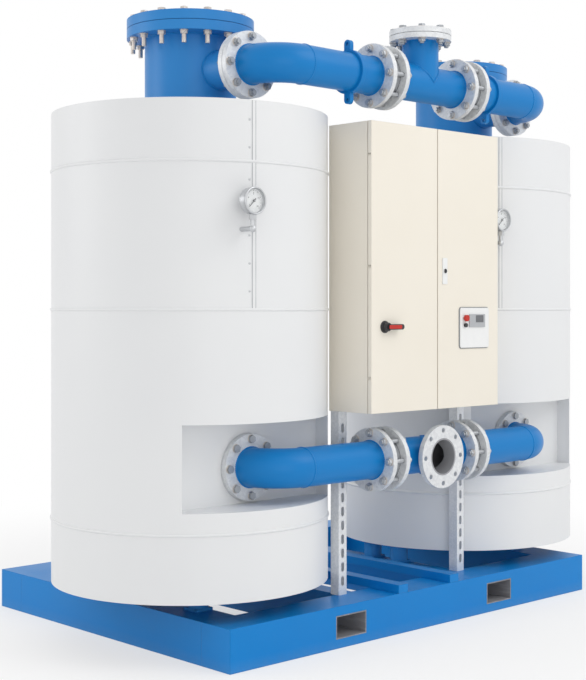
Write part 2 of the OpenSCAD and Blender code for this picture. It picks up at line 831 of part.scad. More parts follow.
// Sets a valve in the left or right pair of a header; flow is -1 or 1 along X
module in_pair(side, flow, z) {
    start = side * flow > 0 ? valve_x0 : valve_x1;
    translate([side * start, head_y, z]) rotate([0, flow * 90, 0]) rotate(flow > 0 ? 180 : 0) children();
}

module valve_bodies() {
    color(zinc_grey) for (s = [-1, 1]) {
        in_pair(s, -s, up_z) valve_body();
        in_pair(s, s, low_z) valve_body();
    }
}

module upper_left_disc() { color("silver") in_pair(-1, 1, up_z) valve_disc(); }
module upper_right_disc() { color("silver") in_pair(1, -1, up_z) valve_disc(); }
module lower_left_disc() { color("silver") in_pair(-1, -1, low_z) valve_disc(); }
module lower_right_disc() { color("silver") in_pair(1, 1, low_z) valve_disc(); }

// Fasteners: the joint is gripped from Z = 0 to Z = grip
module hex(b, h) { cylinder(r = b[1], h = h, $fn = 6); }

module bolt(b, grip) {
    cylinder(r = b[0], h = grip + b[3] + b[4]);
    translate([0, 0, -b[2]]) hex(b, b[2]);
    translate([0, 0, grip]) hex(b, b[3]);
}

module stud_bolt(b, grip) {
    translate([0, 0, -b[3] - b[4]]) cylinder(r = b[0], h = grip + 2 * (b[3] + b[4]));
    translate([0, 0, -b[3]]) hex(b, b[3]);
    translate([0, 0, grip]) hex(b, b[3]);
}

module flange_bolts() {
    pair_grip = 2 * flange_t + gasket_t;
    color("silver") {
        for (s = [-1, 1]) {
            translate([s * tower_x, joint_y + gasket_t + flange_t, up_z]) to_front()
                on_circle(flange_n, flange_pcd / 2) bolt(pipe_bolt, pair_grip);
            translate([s * tower_x, joint_y - flange_t, low_z]) to_front()
                on_circle(flange_n, flange_pcd / 2) {
                    screw_l = flange_t + gasket_t + stud_depth - hole_slack;
                    translate([0, 0, -screw_l]) cylinder(r = stud_r, h = screw_l);
                    hex(pipe_bolt, pipe_bolt[2]);
                }
        }
        translate([0, head_y, vent_z + gasket_t + blind_t]) mirror([0, 0, 1])
            on_circle(flange_n, flange_pcd / 2) bolt(pipe_bolt, flange_t + gasket_t + blind_t);
    }
}

module valve_studs() {
    grip = 2 * (flange_t + gasket_t) + valve_l;
    color("silver") for (s = [-1, 1], z = [low_z, up_z])
        translate([s * (tee_half - flange_t + grip / 2) - grip / 2, head_y, z]) to_right()
            on_circle(flange_n, flange_pcd / 2) stud_bolt(pipe_bolt, grip);
}

module cover_bolts() {
    grip = 2 * cover_t + gasket_t;
    color("silver") for (s = [-1, 1]) at_tower(s) translate([0, 0, neck_z + gasket_t + cover_t])
        mirror([0, 0, 1]) on_circle(cover_bolts_n, cover_pcd / 2) bolt(cover_bolt, grip);
}

module lug_collars() {
    ring_r = pipe_r + fit_gap + collar_wall;
    color(paint_blue) for (s = [-1, 1])
        translate([s * collar_x - collar_w / 2, head_y, up_z]) to_right() difference() {
            union() {
                cylinder(r = ring_r, h = collar_w);
                for (e = [-1, 1]) {
                    tip = e * (ring_r + lug_h - lug_w / 2);
                    translate([tip, 0, 0]) cylinder(r = lug_w / 2, h = collar_w);
                    translate([min(0, tip), -lug_w / 2, 0]) cube([abs(tip), lug_w, collar_w]);
                }
            }
            translate([0, 0, -cut]) cylinder(r = pipe_r + fit_gap, h = collar_w + 2 * cut);
            for (e = [-1, 1]) translate([e * (ring_r + lug_h - lug_w / 2), 0, -cut])
                cylinder(r = lug_hole_r, h = collar_w + 2 * cut);
        }
}

// Cabinet: an open sheet box with a folded rim and hinge arms
module cabinet_body() {
    color(cream) {
        difference() {
            translate([-cab_w / 2, cab_y0, cab_z0]) cube([cab_w, cab_d, cab_h]);
            translate([-cab_w / 2 + sheet_t, cab_y0 + sheet_t, cab_z0 + sheet_t])
                cube([cab_w - 2 * sheet_t, cab_d - 2 * sheet_t, cab_h - 2 * sheet_t]);
            translate([-cab_w / 2 + rim_w, cab_y0 - cut, cab_z0 + rim_w])
                cube([cab_w - 2 * rim_w, sheet_t + 2 * cut, cab_h - 2 * rim_w]);
        }
        for (s = [-1, 1], z = hinge_zs) translate([s * hinge_x, hinge_y, z]) {
            translate([-arm_w / 2, 0, fit_gap]) cube([arm_w, cab_y0 - hinge_y, arm_h]);
            translate([0, 0, fit_gap]) cylinder(r = arm_w / 2, h = arm_h);
            translate([0, 0, -knuckle_h + cut]) cylinder(r = hinge_pin_r, h = knuckle_h);
        }
        for (x = [-1, 1], z = [cab_z0 + 2 * plate_margin, cab_z1 - 2 * plate_margin])
            translate([x * (cab_w / 2 - 2 * plate_margin), cab_y1 - sheet_t, z]) to_front()
                cylinder(r = plate_foot_r, h = plate_foot_l);
    }
}

// Mounting plate with two device rails and the control gear on them
module mounting_plate() {
    plate_w = cab_w - 2 * plate_margin;
    plate_h = cab_h - 2 * plate_margin;
    color("#C9CCCE") translate([-plate_w / 2, plate_y - plate_t, cab_z0 + plate_margin]) {
        cube([plate_w, plate_t, plate_h]);
        for (row = gear_rows) translate([0, 0, plate_h * row[0]]) {
            translate([plate_w * din_side, -din_t, 0]) cube([plate_w * (1 - 2 * din_side), din_t, din_w]);
            for (i = [0 : gear_n - 1])
                translate([plate_w * (gear_side + gear_step * i), -row[1], (din_w - gear_h) / 2])
                    cube([plate_w * gear_share, row[1] - din_t + cut, gear_h]);
        }
    }
}

// A door pan with its hinge knuckles, drawn for the left side
module door_pan() {
    difference() {
        union() {
            difference() {
                translate([-cab_w / 2, door_y0, cab_z0]) cube([door_w, door_d, cab_h]);
                translate([-cab_w / 2 + sheet_t, door_y0 + sheet_t, cab_z0 + sheet_t])
                    cube([door_w - 2 * sheet_t, door_d, cab_h - 2 * sheet_t]);
            }
            for (z = hinge_zs) translate([-hinge_x, hinge_y, z - knuckle_h]) {
                cylinder(r = knuckle_r, h = knuckle_h);
                translate([-hinge_pin_r, sheet_t / 2 - hinge_back, 0])
                    cube([2 * hinge_pin_r, hinge_back - sheet_t / 2, knuckle_h]);
            }
        }
        for (z = hinge_zs) translate([-hinge_x, hinge_y, z]) {
            translate([0, 0, -knuckle_h - cut]) cylinder(r = hinge_pin_r + run_gap, h = knuckle_h + 2 * cut);
            translate([-hinge_in - cut, -knuckle_r - 2 * cut, -cut])
                cube([hinge_in + cut, door_d, arm_h + 3 * cut]);
        }
    }
}

module left_door() {
    color(cream) difference() {
        door_pan();
        translate(switch_pos) translate([0, 2 * sheet_t, 0]) to_front()
            cylinder(r = switch_shaft_r + hole_slack, h = 4 * sheet_t);
    }
}

module right_door() {
    color(cream) difference() {
        mirror([1, 0, 0]) door_pan();
        translate(lock_pos) translate([0, 2 * sheet_t, 0]) to_front()
            cylinder(r = barrel_r + hole_slack, h = 4 * sheet_t);
        for (p = [stop_pos, start_pos]) translate([p[0], door_y0 + 2 * sheet_t, p[2]]) to_front()
            cylinder(r = button_stem_r + hole_slack, h = 4 * sheet_t);
    }
}

// Slotted strut posts with foot and head plates, open at the back
module strut_posts() {
    l = cab_z0 - rail_h;
    plate = 4;
    slots = floor((l - 2 * slot_pitch) / slot_pitch);
    color(zinc_grey) for (s = [-1, 1]) translate([s * post_x - strut_w / 2, post_y0, rail_h]) difference() {
        union() {
            difference() {
                cube([strut_w, strut_w, l]);
                translate([strut_t, strut_t, -cut]) cube([strut_w - 2 * strut_t, strut_w, l + 2 * cut]);
            }
            for (z = [0, l - plate]) translate([0, 0, z]) cube([strut_w, strut_w, plate]);
        }
        for (i = [0 : slots]) translate([strut_w / 2, strut_t + cut, slot_pitch * (i + 1)]) to_front() {
            translate([-slot_w / 2, -(slot_l - slot_w) / 2, 0])
                cube([slot_w, slot_l - slot_w, strut_t + 2 * cut]);
            for (e = [-1, 1]) translate([0, e * (slot_l - slot_w) / 2, 0])
                cylinder(r = slot_w / 2, h = strut_t + 2 * cut);
        }
    }
}

// Controls on the doors
module switch_base() {
    color(dark) translate(switch_pos) to_front() difference() {
        union() {
            cylinder(r = switch_r, h = switch_t / 2);
            cylinder(r1 = switch_r, r2 = switch_r - switch_t / 2, h = switch_t);
        }
        translate([0, 0, -cut]) cylinder(r = switch_shaft_r + run_gap, h = switch_t + 2 * cut);
    }
}

module switch_handle() {
    shaft_in = door_d + 12;
    clip_t = 3;
    color(dark) translate(switch_pos) to_front() {
        translate([0, 0, -shaft_in]) cylinder(r = switch_shaft_r, h = shaft_in + switch_t + hub_t);
        translate([0, 0, -sheet_t - fit_gap - clip_t]) cylinder(r = 2 * switch_shaft_r, h = clip_t);
        translate([0, 0, switch_t + fit_gap]) {
            cylinder(r = hub_r, h = hub_t);
            translate([0, -lever_w / 2, hub_t - lever_t / 2]) cube([lever_l - lever_w / 2, lever_w, lever_t]);
            translate([lever_l - lever_w / 2, 0, hub_t - lever_t / 2]) cylinder(r = lever_w / 2, h = lever_t);
        }
    }
}

module lock_plate() {
    color("white") translate(lock_pos) to_front() difference() {
        rounded_plate(lock_w, lock_h, lock_corner_r, lock_t);
        translate([0, 0, -cut]) cylinder(r = barrel_r + run_gap, h = lock_t + 2 * cut);
    }
}

// The barrel has a key slot in front and carries the cam behind the doors
module lock_barrel() {
    barrel_in = door_d + 8;
    collar_t = 2;
    slot_depth = 4;
    color(dark) translate(lock_pos) to_front() difference() {
        union() {
            translate([0, 0, -barrel_in]) cylinder(r = barrel_r, h = barrel_in + lock_t + fit_gap);
            translate([0, 0, lock_t + fit_gap]) cylinder(r = barrel_r + 2, h = collar_t);
            translate([-cam_w / 2, barrel_r - cam_l, -barrel_in - cam_t]) cube([cam_w, cam_l, cam_t]);
        }
        translate([-key_w / 2, -key_l / 2, lock_t + fit_gap + collar_t - slot_depth])
            cube([key_w, key_l, slot_depth + cut]);
    }
}

module operator_panel() {
    color("white") difference() {
        translate([hmi_x0 + hmi_w / 2, door_y0, hmi_z0 + hmi_h / 2]) to_front()
            rounded_plate(hmi_w, hmi_h, hmi_corner_r, hmi_t);
        for (p = [stop_pos, start_pos]) translate(p) translate([0, hmi_t + cut, 0]) to_front()
            cylinder(r = button_stem_r + run_gap, h = hmi_t + 2 * cut);
    }
}

// Raised display bezel with a sunken screen
module display() {
    color("#B1B4B8") translate(display_pos) difference() {
        translate([0, -display_t, 0]) cube([display_w, display_t, display_h]);
        translate([screen_in, -display_t - cut, screen_up]) cube([screen_w, screen_deep + cut, screen_h]);
    }
}

module push_button(pos, head_r, head_t) {
    clip_t = 2.5;
    translate(pos) to_front() {
        translate([0, 0, -button_stem_l])
            cylinder(r = button_stem_r, h = button_stem_l + button_travel + fit_gap);
        translate([0, 0, button_travel + fit_gap]) cylinder(r = head_r, h = head_t);
        translate([0, 0, -hmi_t - sheet_t - fit_gap - clip_t]) cylinder(r = button_stem_r + 3, h = clip_t);
    }
}

module stop_button() { color("#C9251C") push_button(stop_pos, 15, 11); }
module start_button() { color(dark) push_button(start_pos, 10, 5); }

// Gauges on impulse lines that run through the cladding to the vessel
module gauge(side) {
    x = gauge_x(side);
    off = abs(x - side * tower_x) - line_r;
    shell_y = tower_y - sqrt(shell_r * shell_r - off * off);
    stem_y = gauge_y(side) - gauge_d / 2;
    translate([x, shell_y - soft_gap, line_z]) to_front()
        cylinder(r = line_r, h = shell_y - soft_gap - stem_y);
    translate([x, stem_y, line_z]) sphere(r = line_r * 1.5);
    translate([x, stem_y, line_z]) cylinder(r = line_r, h = gauge_up - gauge_r + bezel);
    translate([x, stem_y, gauge_z - gauge_r - nut_drop]) cylinder(r = line_r * 1.6, h = nut_h, $fn = 6);
    translate([x, gauge_y(side), gauge_z]) to_front() {
        difference() {
            cylinder(r = gauge_r, h = gauge_d);
            translate([0, 0, gauge_d - glass_t - dial_depth]) cylinder(r = gauge_r - bezel, h = gauge_d);
        }
        cylinder(r = spindle_r, h = gauge_d - glass_t - 2);
    }
}

module left_gauge() { color("#D5D6D8") gauge(-1); }
module right_gauge() { color("#D5D6D8") gauge(1); }

// The needle rests at zero, pointing down to the left
module needle(side) {
    translate([gauge_x(side), gauge_y(side), gauge_z]) to_front()
        translate([0, 0, gauge_d - glass_t - needle_back]) rotate(225) difference() {
            union() {
                cylinder(r = needle_hub_r, h = needle_hub_h);
                translate([0, 0, (needle_hub_h - needle_leaf) / 2]) linear_extrude(needle_leaf)
                    polygon([[-needle_tail, -2.4], [-needle_tail, 2.4], [needle_l, 0.8], [needle_l, -0.8]]);
            }
            translate([0, 0, -cut]) cylinder(r = spindle_r + run_gap, h = needle_hub_h + 2 * cut);
        }
}

module left_needle() { color(dark) needle(-1); }
module right_needle() { color(dark) needle(1); }

module gauge_glasses() {
    color([0.9, 0.95, 1, 0.4]) for (s = [-1, 1])
        translate([gauge_x(s), gauge_y(s) - gauge_d + glass_t, gauge_z]) to_front()
            cylinder(r = gauge_r - bezel - fit_gap, h = glass_t);
}

front_rail();
rear_rail();
end_rails();
cross_members();
fork_pockets();
conduit_bars();
left_vessel();
right_vessel();
left_desiccant_bed();
right_desiccant_bed();
left_insulation();
right_insulation();
left_neck_cover();
right_neck_cover();
left_base_band();
right_base_band();
left_main_band();
right_main_band();
left_upper_band();
right_upper_band();
left_top_band();
right_top_band();
left_upper_bend();
right_upper_bend();
upper_tee();
left_lower_bend();
right_lower_bend();
lower_tee();
weld_flanges();
pipe_flanges();
port_flange();
vent_blind();
gaskets();
valve_bodies();
upper_left_disc();
upper_right_disc();
lower_left_disc();
lower_right_disc();
flange_bolts();
valve_studs();
cover_bolts();
lug_collars();
cabinet_body();
mounting_plate();
left_door();
right_door();
strut_posts();
switch_base();
switch_handle();
lock_plate();
lock_barrel();
operator_panel();
display();
stop_button();
start_button();
left_gauge();
right_gauge();
left_needle();
right_needle();
gauge_glasses();
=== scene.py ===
"""Looks for a twin-tower desiccant air dryer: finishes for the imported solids, and the small pieces on them."""

import math

import bmesh
import bpy
from mathutils import Matrix, Vector


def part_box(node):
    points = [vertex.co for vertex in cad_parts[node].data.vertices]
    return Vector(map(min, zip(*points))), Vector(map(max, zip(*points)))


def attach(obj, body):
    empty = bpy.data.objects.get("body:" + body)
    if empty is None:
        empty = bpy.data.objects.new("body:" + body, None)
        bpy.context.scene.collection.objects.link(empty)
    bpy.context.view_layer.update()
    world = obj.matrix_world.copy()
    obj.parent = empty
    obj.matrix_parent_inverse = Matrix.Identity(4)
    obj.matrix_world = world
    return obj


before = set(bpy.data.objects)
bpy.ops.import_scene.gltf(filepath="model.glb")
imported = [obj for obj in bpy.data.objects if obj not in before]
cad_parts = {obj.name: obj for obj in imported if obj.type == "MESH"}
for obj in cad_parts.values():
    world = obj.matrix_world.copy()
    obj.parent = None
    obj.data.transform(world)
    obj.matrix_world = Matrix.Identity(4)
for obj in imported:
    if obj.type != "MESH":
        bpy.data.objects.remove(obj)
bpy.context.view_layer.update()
scene = bpy.context.scene
mm = 0.001
sides = ("left", "right")
along_x, along_y, along_z = (1, 0, 0), (0, 1, 0), (0, 0, 1)


# Small helpers
def srgb(code):
    """An sRGB hex colour as linear RGBA."""
    parts = [int(code[i:i + 2], 16) / 255 for i in (1, 3, 5)]
    return tuple(p / 12.92 if p <= 0.04045 else ((p + 0.055) / 1.055) ** 2.4 for p in parts) + (1.0,)


def feed(node, wires):
    """Gives a node its inputs, each a value, a socket to link, or a node to link by its first output."""
    for key, value in wires.items():
        if isinstance(value, bpy.types.Node):
            value = value.outputs[0]
        if isinstance(value, bpy.types.NodeSocket):
            node.id_data.links.new(value, node.inputs[key])
        else:
            node.inputs[key].default_value = value


def put(tree, kind, wires=None, **settings):
    """Adds a node with its settings, and feeds it."""
    node = tree.nodes.new(kind)
    for name, value in settings.items():
        setattr(node, name, value)
    feed(node, wires or {})
    return node


def start_finish(name, colour, roughness, metallic=0.0, ior=1.5):
    """An empty finish: its material, tree, shader and Object coordinates in metres."""
    mat = bpy.data.materials.new(name)
    mat.use_nodes = True
    tree = mat.node_tree
    shader = tree.nodes["Principled BSDF"]
    feed(shader, {"Base Color": srgb(colour), "Roughness": roughness, "Metallic": metallic, "IOR": ior})
    return mat, tree, shader, put(tree, "ShaderNodeTexCoord").outputs["Object"]


def calc(tree, operation, *values, **settings):
    """One step of arithmetic on one or two values."""
    return put(tree, "ShaderNodeMath", dict(enumerate(values)), operation=operation, **settings)


def spread(tree, value, *ends, **settings):
    """A value taken from one range, given by its two ends, to another."""
    return put(tree, "ShaderNodeMapRange", dict(enumerate((value, *ends))), **settings)


def blend(tree, share, first, second):
    """A share of the second colour in the first."""
    return put(tree, "ShaderNodeMix", {0: share, 6: first, 7: second}, data_type="RGBA").outputs[2]


def noise(tree, place, size, detail, **more):
    """Noise of one size in metres."""
    return put(tree, "ShaderNodeTexNoise", {"Vector": place, "Scale": 1 / size, "Detail": detail, **more})


def cloudy(tree, place, size, detail, shade, colour, **more):
    """Two tones that drift into each other in clouds of one size; gives the clouds and the colour."""
    cloud = noise(tree, place, size, detail, **more)
    return cloud, blend(tree, cloud, srgb(shade), srgb(colour))


def soft_relief(tree, edge, strength, depth, height):
    """The normal of a fine relief, over edges softened to a radius."""
    soft = put(tree, "ShaderNodeBevel", {"Radius": edge}, samples=4)
    return put(tree, "ShaderNodeBump", {"Strength": strength, "Distance": depth, "Height": height, "Normal": soft})


# Finishes
def bare_bore(tree, place, bore):
    """1 inside a tee's run and its branch to the front, and on the branch's open end; 0 elsewhere."""
    axis_y, axis_z, radius, end_y = bore
    moved = put(tree, "ShaderNodeVectorMath", {0: place, 1: (0.0, axis_y, axis_z)}, operation="SUBTRACT")
    inside = []
    for across in ((0.0, 1.0, 1.0), (1.0, 0.0, 1.0)):
        flat = put(tree, "ShaderNodeVectorMath", {0: moved, 1: across}, operation="MULTIPLY")
        off = put(tree, "ShaderNodeVectorMath", {0: flat}, operation="LENGTH")
        inside.append(calc(tree, "LESS_THAN", off.outputs["Value"], radius))
    depth = put(tree, "ShaderNodeSeparateXYZ", {0: moved}).outputs["Y"]
    front = calc(tree, "LESS_THAN", depth, 0.0)
    branch = calc(tree, "MULTIPLY", inside[1], front)
    bare = calc(tree, "MAXIMUM", inside[0], branch)
    end = calc(tree, "LESS_THAN", depth, end_y - axis_y + 1 * mm)
    return calc(tree, "MAXIMUM", bare, end)


def satin_enamel(name, colour, shade, edge, dust_z=None, bore=None):
    """Satin enamel sprayed on steel: broad soft reflections, fine orange peel, a slow drift in tone, soft edges.
    dust_z is how high floor dust reaches. bore is a tee's Y and Z, its inner radius and the Y of its open end:
    inside, and on that end, the steel is bare."""
    drift_size, peel_size, dust_size = 420 * mm, 6 * mm, 30 * mm
    mat, tree, shader, place = start_finish(name, colour, 0.36)
    drift, last = cloudy(tree, place, drift_size, 4.0, shade, colour, Roughness=0.6)
    if dust_z:
        height = put(tree, "ShaderNodeSeparateXYZ", {0: place}).outputs["Z"]
        low = spread(tree, height, 0.0, dust_z, 0.22, 0.0)
        speck = noise(tree, place, dust_size, 6.0, Roughness=0.7)
        amount = calc(tree, "MULTIPLY", low, speck)
        last = blend(tree, amount, last, srgb("#8FA0AE"))
    if bore:
        bare = bare_bore(tree, place, bore)
        last = blend(tree, bare, last, srgb("#9C9DA1"))
    peel = noise(tree, place, peel_size, 2.0)
    gloss = spread(tree, drift, 0.3, 0.7, 0.32, 0.44)
    feed(shader, {"Base Color": last, "Roughness": gloss, "Specular IOR Level": 0.27,
                  "Normal": soft_relief(tree, edge, 0.25, 0.6 * mm, peel)})
    return mat


def cladding_sheet():
    """Pre-painted aluminium sheet rolled round the tower: smooth, with slow oil-canning and faint roll lines."""
    drift_size, canning_size, line_size = 600 * mm, 300 * mm, 8 * mm
    mat, tree, shader, place = start_finish("prepainted_cladding_sheet", "#E7E8E9", 0.42)
    tone = cloudy(tree, place, drift_size, 3.0, "#E4E5E7", "#EAEBEB")[1]
    tall = put(tree, "ShaderNodeMapping", {"Vector": place, "Scale": (1.0, 1.0, 0.35)})
    canning = noise(tree, tall, canning_size, 1.0)
    lines = put(tree, "ShaderNodeMapping", {"Vector": place, "Scale": (1.0, 1.0, 0.02)})
    grain = noise(tree, lines, line_size, 2.0)
    broad = put(tree, "ShaderNodeBump", {"Strength": 0.35, "Distance": 6 * mm, "Height": canning})
    fine = put(tree, "ShaderNodeBump", {"Strength": 0.08, "Distance": 0.4 * mm, "Height": grain, "Normal": broad})
    gloss = spread(tree, grain, 0.3, 0.7, 0.38, 0.48)
    feed(shader, {"Base Color": tone, "Roughness": gloss, "Normal": fine})
    return mat


def galvanised(name, light, mid, flake, metallic, roughness):
    """Hot-dip galvanised steel: flat zinc crystals of differing tone, each about a flake wide, dulled by handling."""
    mat, tree, shader, place = start_finish(name, mid, roughness, metallic)
    wander = noise(tree, place, 3 * flake, 2.0)
    warp = put(tree, "ShaderNodeMix", {0: flake * 0.9, 4: place, 5: wander.outputs["Color"]}, data_type="VECTOR")
    crystal = put(tree, "ShaderNodeTexVoronoi", {"Vector": warp.outputs[1], "Scale": 1 / flake})
    value = put(tree, "ShaderNodeSeparateColor", {0: crystal.outputs["Color"]})
    tone = blend(tree, value, srgb(mid), srgb(light))
    gloss = spread(tree, value, 0.0, 1.0, roughness - 0.06, roughness + 0.08)
    feed(shader, {"Base Color": tone, "Roughness": gloss,
                  "Normal": soft_relief(tree, 2.5 * mm, 0.12, 0.5 * mm, value)})
    return mat


def zinc_fastener(name, light, shade, axis, split_x=None):
    """Zinc-plated steel fasteners: a bright grey, with rolled thread along the shank's axis.
    Beyond split_x from the middle the shanks lie along that axis, and nearer they stand upright."""
    mat, tree, shader, place = start_finish(name, light, 0.36, 0.6)
    tone = cloudy(tree, place, 20 * mm, 3.0, shade, light)[1]
    # Thread of 2.5 mm pitch, drawn at 5 mm so that it shows; bands of scale 1 are 0.05 * 2 pi metres apart
    thread = {"Vector": place, "Scale": 0.05 * 2 * math.pi / (5 * mm)}
    height = put(tree, "ShaderNodeTexWave", thread, wave_type="BANDS", bands_direction=axis).outputs["Fac"]
    if split_x:
        upright = put(tree, "ShaderNodeTexWave", thread, wave_type="BANDS", bands_direction="Z")
        side = put(tree, "ShaderNodeSeparateXYZ", {0: place}).outputs["X"]
        far = calc(tree, "ABSOLUTE", side)
        outer = calc(tree, "GREATER_THAN", far, split_x)
        height = put(tree, "ShaderNodeMix", {0: outer, 2: upright.outputs["Fac"], 3: height})
    bump = put(tree, "ShaderNodeBump", {"Strength": 0.5, "Distance": 1.2 * mm, "Height": height})
    feed(shader, {"Base Color": tone, "Normal": bump})
    return mat


def powder_coat():
    """Cream polyester powder coat: even and warm, with the low pebble that the baked powder leaves."""
    mat, tree, shader, place = start_finish("cream_powder_coat", "#F0E9DC", 0.44)
    tone = cloudy(tree, place, 500 * mm, 3.0, "#ECE5D7", "#F3EDE1")[1]
    # Pebble of 1.5 mm, drawn at 3 mm so that it shows
    pebble = noise(tree, place, 3 * mm, 1.0)
    gloss = spread(tree, pebble, 0.3, 0.7, 0.40, 0.50)
    feed(shader, {"Base Color": tone, "Roughness": gloss,
                  "Normal": soft_relief(tree, 3 * mm, 0.16, 0.4 * mm, pebble)})
    return mat


def moulded_plastic(name, colour, shade, roughness, grit=1.2 * mm):
    """Injection-moulded plastic: an even body colour, with the fine spark-eroded grain of the mould."""
    mat, tree, shader, place = start_finish(name, colour, roughness, 0.0, 1.46)
    tone = cloudy(tree, place, 30 * mm, 3.0, shade, colour)[1]
    grain = noise(tree, place, grit, 2.0)
    feed(shader, {"Base Color": tone, "Normal": soft_relief(tree, 1.5 * mm, 0.2, 0.2 * mm, grain)})
    return mat


def turned_steel(name, colour, shade, pitch, axis, roughness):
    """Lathe-turned steel: fine tool rings along one axis, and a clean grey body."""
    mat, tree, shader, place = start_finish(name, colour, roughness, 0.8)
    stretch = [1.0 if letter == axis else 0.02 for letter in "XYZ"]
    along = put(tree, "ShaderNodeMapping", {"Vector": place, "Scale": stretch})
    rings, tone = cloudy(tree, along, pitch, 3.0, shade, colour)
    gloss = spread(tree, rings, 0.3, 0.7, roughness - 0.06, roughness + 0.08)
    bump = put(tree, "ShaderNodeBump", {"Strength": 0.2, "Distance": 0.2 * mm, "Height": rings})
    feed(shader, {"Base Color": tone, "Roughness": gloss, "Normal": bump})
    return mat


def pocket_steel():
    """Painted sleeve steel: a dull grey that the pocket's own shade makes charcoal, paler where forks slide."""
    mat, tree, shader, place = start_finish("charcoal_sleeve_paint", "#8C8C90", 0.6)
    lines = put(tree, "ShaderNodeMapping", {"Vector": place, "Scale": (1.0, 0.08, 1.0)})
    scuff = noise(tree, lines, 12 * mm, 5.0)
    worn = spread(tree, scuff, 0.5, 0.75, 0.0, 0.7)
    tone = blend(tree, worn, srgb("#88888C"), srgb("#A8A8AC"))
    bump = put(tree, "ShaderNodeBump", {"Strength": 0.2, "Distance": 0.6 * mm, "Height": scuff})
    feed(shader, {"Base Color": tone, "Normal": bump})
    return mat


def speckled(name, colour, fleck, size, roughness, depth):
    """A granular or fibrous body: two tones mixed grain by grain, rough to the touch."""
    mat, tree, shader, place = start_finish(name, colour, roughness)
    grains = put(tree, "ShaderNodeTexVoronoi", {"Vector": place, "Scale": 1 / size})
    value = put(tree, "ShaderNodeSeparateColor", {0: grains.outputs["Color"]})
    tone = blend(tree, value, srgb(fleck), srgb(colour))
    bump = put(tree, "ShaderNodeBump", {"Strength": 0.6, "Distance": depth, "Height": grains.outputs["Distance"]})
    feed(shader, {"Base Color": tone, "Normal": bump})
    return mat


def wool():
    """Mineral wool lamella: yellow-brown fibres lying in streaks, no gloss at all."""
    mat, tree, shader, place = start_finish("mineral_wool_lamella", "#D2C08A", 0.95)
    lay = put(tree, "ShaderNodeMapping", {"Vector": place, "Scale": (1.0, 1.0, 0.1)})
    strands, tone = cloudy(tree, lay, 6 * mm, 6.0, "#B39C62", "#E4D6A8")
    bump = put(tree, "ShaderNodeBump", {"Strength": 0.7, "Distance": 2 * mm, "Height": strands})
    feed(shader, {"Base Color": tone, "Normal": bump})
    return mat


def clear_glass():
    """Instrument glass: all but clear, seen by its reflections, with a faint smear."""
    mat, tree, shader, place = start_finish("instrument_glass", "#F4F8FA", 0.04)
    smear = noise(tree, place, 30 * mm, 4.0)
    gloss = spread(tree, smear, 0.4, 0.8, 0.03, 0.12)
    feed(shader, {"Alpha": 0.1, "Roughness": gloss})
    return mat


def gear_plate(device_y):
    """Zinc-passivated mounting plate; in front of device_y, the pale grey moulded housings of its devices."""
    mat, tree, shader, place = start_finish("passivated_plate_and_devices", "#C9CCCE", 0.42)
    depth = put(tree, "ShaderNodeSeparateXYZ", {0: place}).outputs["Y"]
    device = calc(tree, "LESS_THAN", depth, device_y)
    cloud, zinc = cloudy(tree, place, 50 * mm, 4.0, "#B4B7B8", "#D6D7D2")
    body = blend(tree, cloud, srgb("#969CA0"), srgb("#A6ACB0"))
    tone = blend(tree, device, zinc, body)
    gloss = spread(tree, cloud, 0.3, 0.7, 0.36, 0.5)
    sheen = calc(tree, "SUBTRACT", 0.75, device, use_clamp=True)
    grain = noise(tree, place, 1.5 * mm, 2.0)
    feed(shader, {"Base Color": tone, "Roughness": gloss, "Metallic": sheen,
                  "Normal": soft_relief(tree, 1.5 * mm, 0.2, 0.2 * mm, grain)})
    return mat


# Boxes that finishes and pieces go by, and the pipes' bore
open_low, open_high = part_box("lower_tee")
plate_low, plate_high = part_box("mounting_plate")
pipe_bore_r = 78 * mm

skid_blue = satin_enamel("satin_enamel_skid_blue", "#0685D2", "#057ECA", 5 * mm, dust_z=50 * mm)
vessel_blue = satin_enamel("satin_enamel_vessel_blue", "#3389CF", "#2C82C8", 3 * mm)
pipe_blue = satin_enamel("satin_enamel_pipe_blue", "#0C80C8", "#0A78C0", 2 * mm)
bored_blue = satin_enamel("satin_enamel_open_tee", "#0C80C8", "#0A78C0", 2 * mm,
                          bore=(open_high.y - (open_high.z - open_low.z) / 2, (open_low.z + open_high.z) / 2,
                                pipe_bore_r, open_low.y))
sheet_white = cladding_sheet()
flange_grey = galvanised("galvanised_flange_steel", "#E6E8E9", "#D6D8DB", 11 * mm, 0.3, 0.46)
strut_grey = galvanised("galvanised_strut_sheet", "#EDEEEF", "#DFE1E3", 9 * mm, 0.35, 0.42)
bolt_up = zinc_fastener("zinc_plated_cover_bolts", "#DAD2CB", "#C6BDB6", "Z")
bolt_along = zinc_fastener("zinc_plated_studs", "#C9CCCF", "#AEB1B5", "X")
bolt_front = zinc_fastener("zinc_plated_flange_bolts", "#B2B6BB", "#989CA1", "Y", split_x=0.4)
cream = powder_coat()
black = moulded_plastic("black_moulded_polyamide", "#37373A", "#2C2C2F", 0.42)
red = moulded_plastic("red_moulded_polyamide", "#C8291D", "#B92318", 0.36)
white = moulded_plastic("white_moulded_abs", "#F2F2F1", "#E9EAEA", 0.4)
display_grey = moulded_plastic("grey_moulded_abs", "#B7B9BC", "#ACAFB3", 0.42)
needle_black = moulded_plastic("black_lacquered_leaf", "#2A2A2C", "#202022", 0.4)
valve_steel = turned_steel("turned_valve_steel", "#BEC0C3", "#A6A9AD", 1.2 * mm, "X", 0.4)
gauge_steel = turned_steel("brushed_stainless_case", "#D2D4D6", "#BDBFC2", 0.8 * mm, "Y", 0.34)
fibre = speckled("compressed_fibre_gasket", "#4A4D50", "#5F6366", 1.5 * mm, 0.85, 0.3 * mm)
beads = speckled("activated_alumina_beads", "#EDE7DA", "#DDD4C2", 4 * mm, 0.8, 3 * mm)
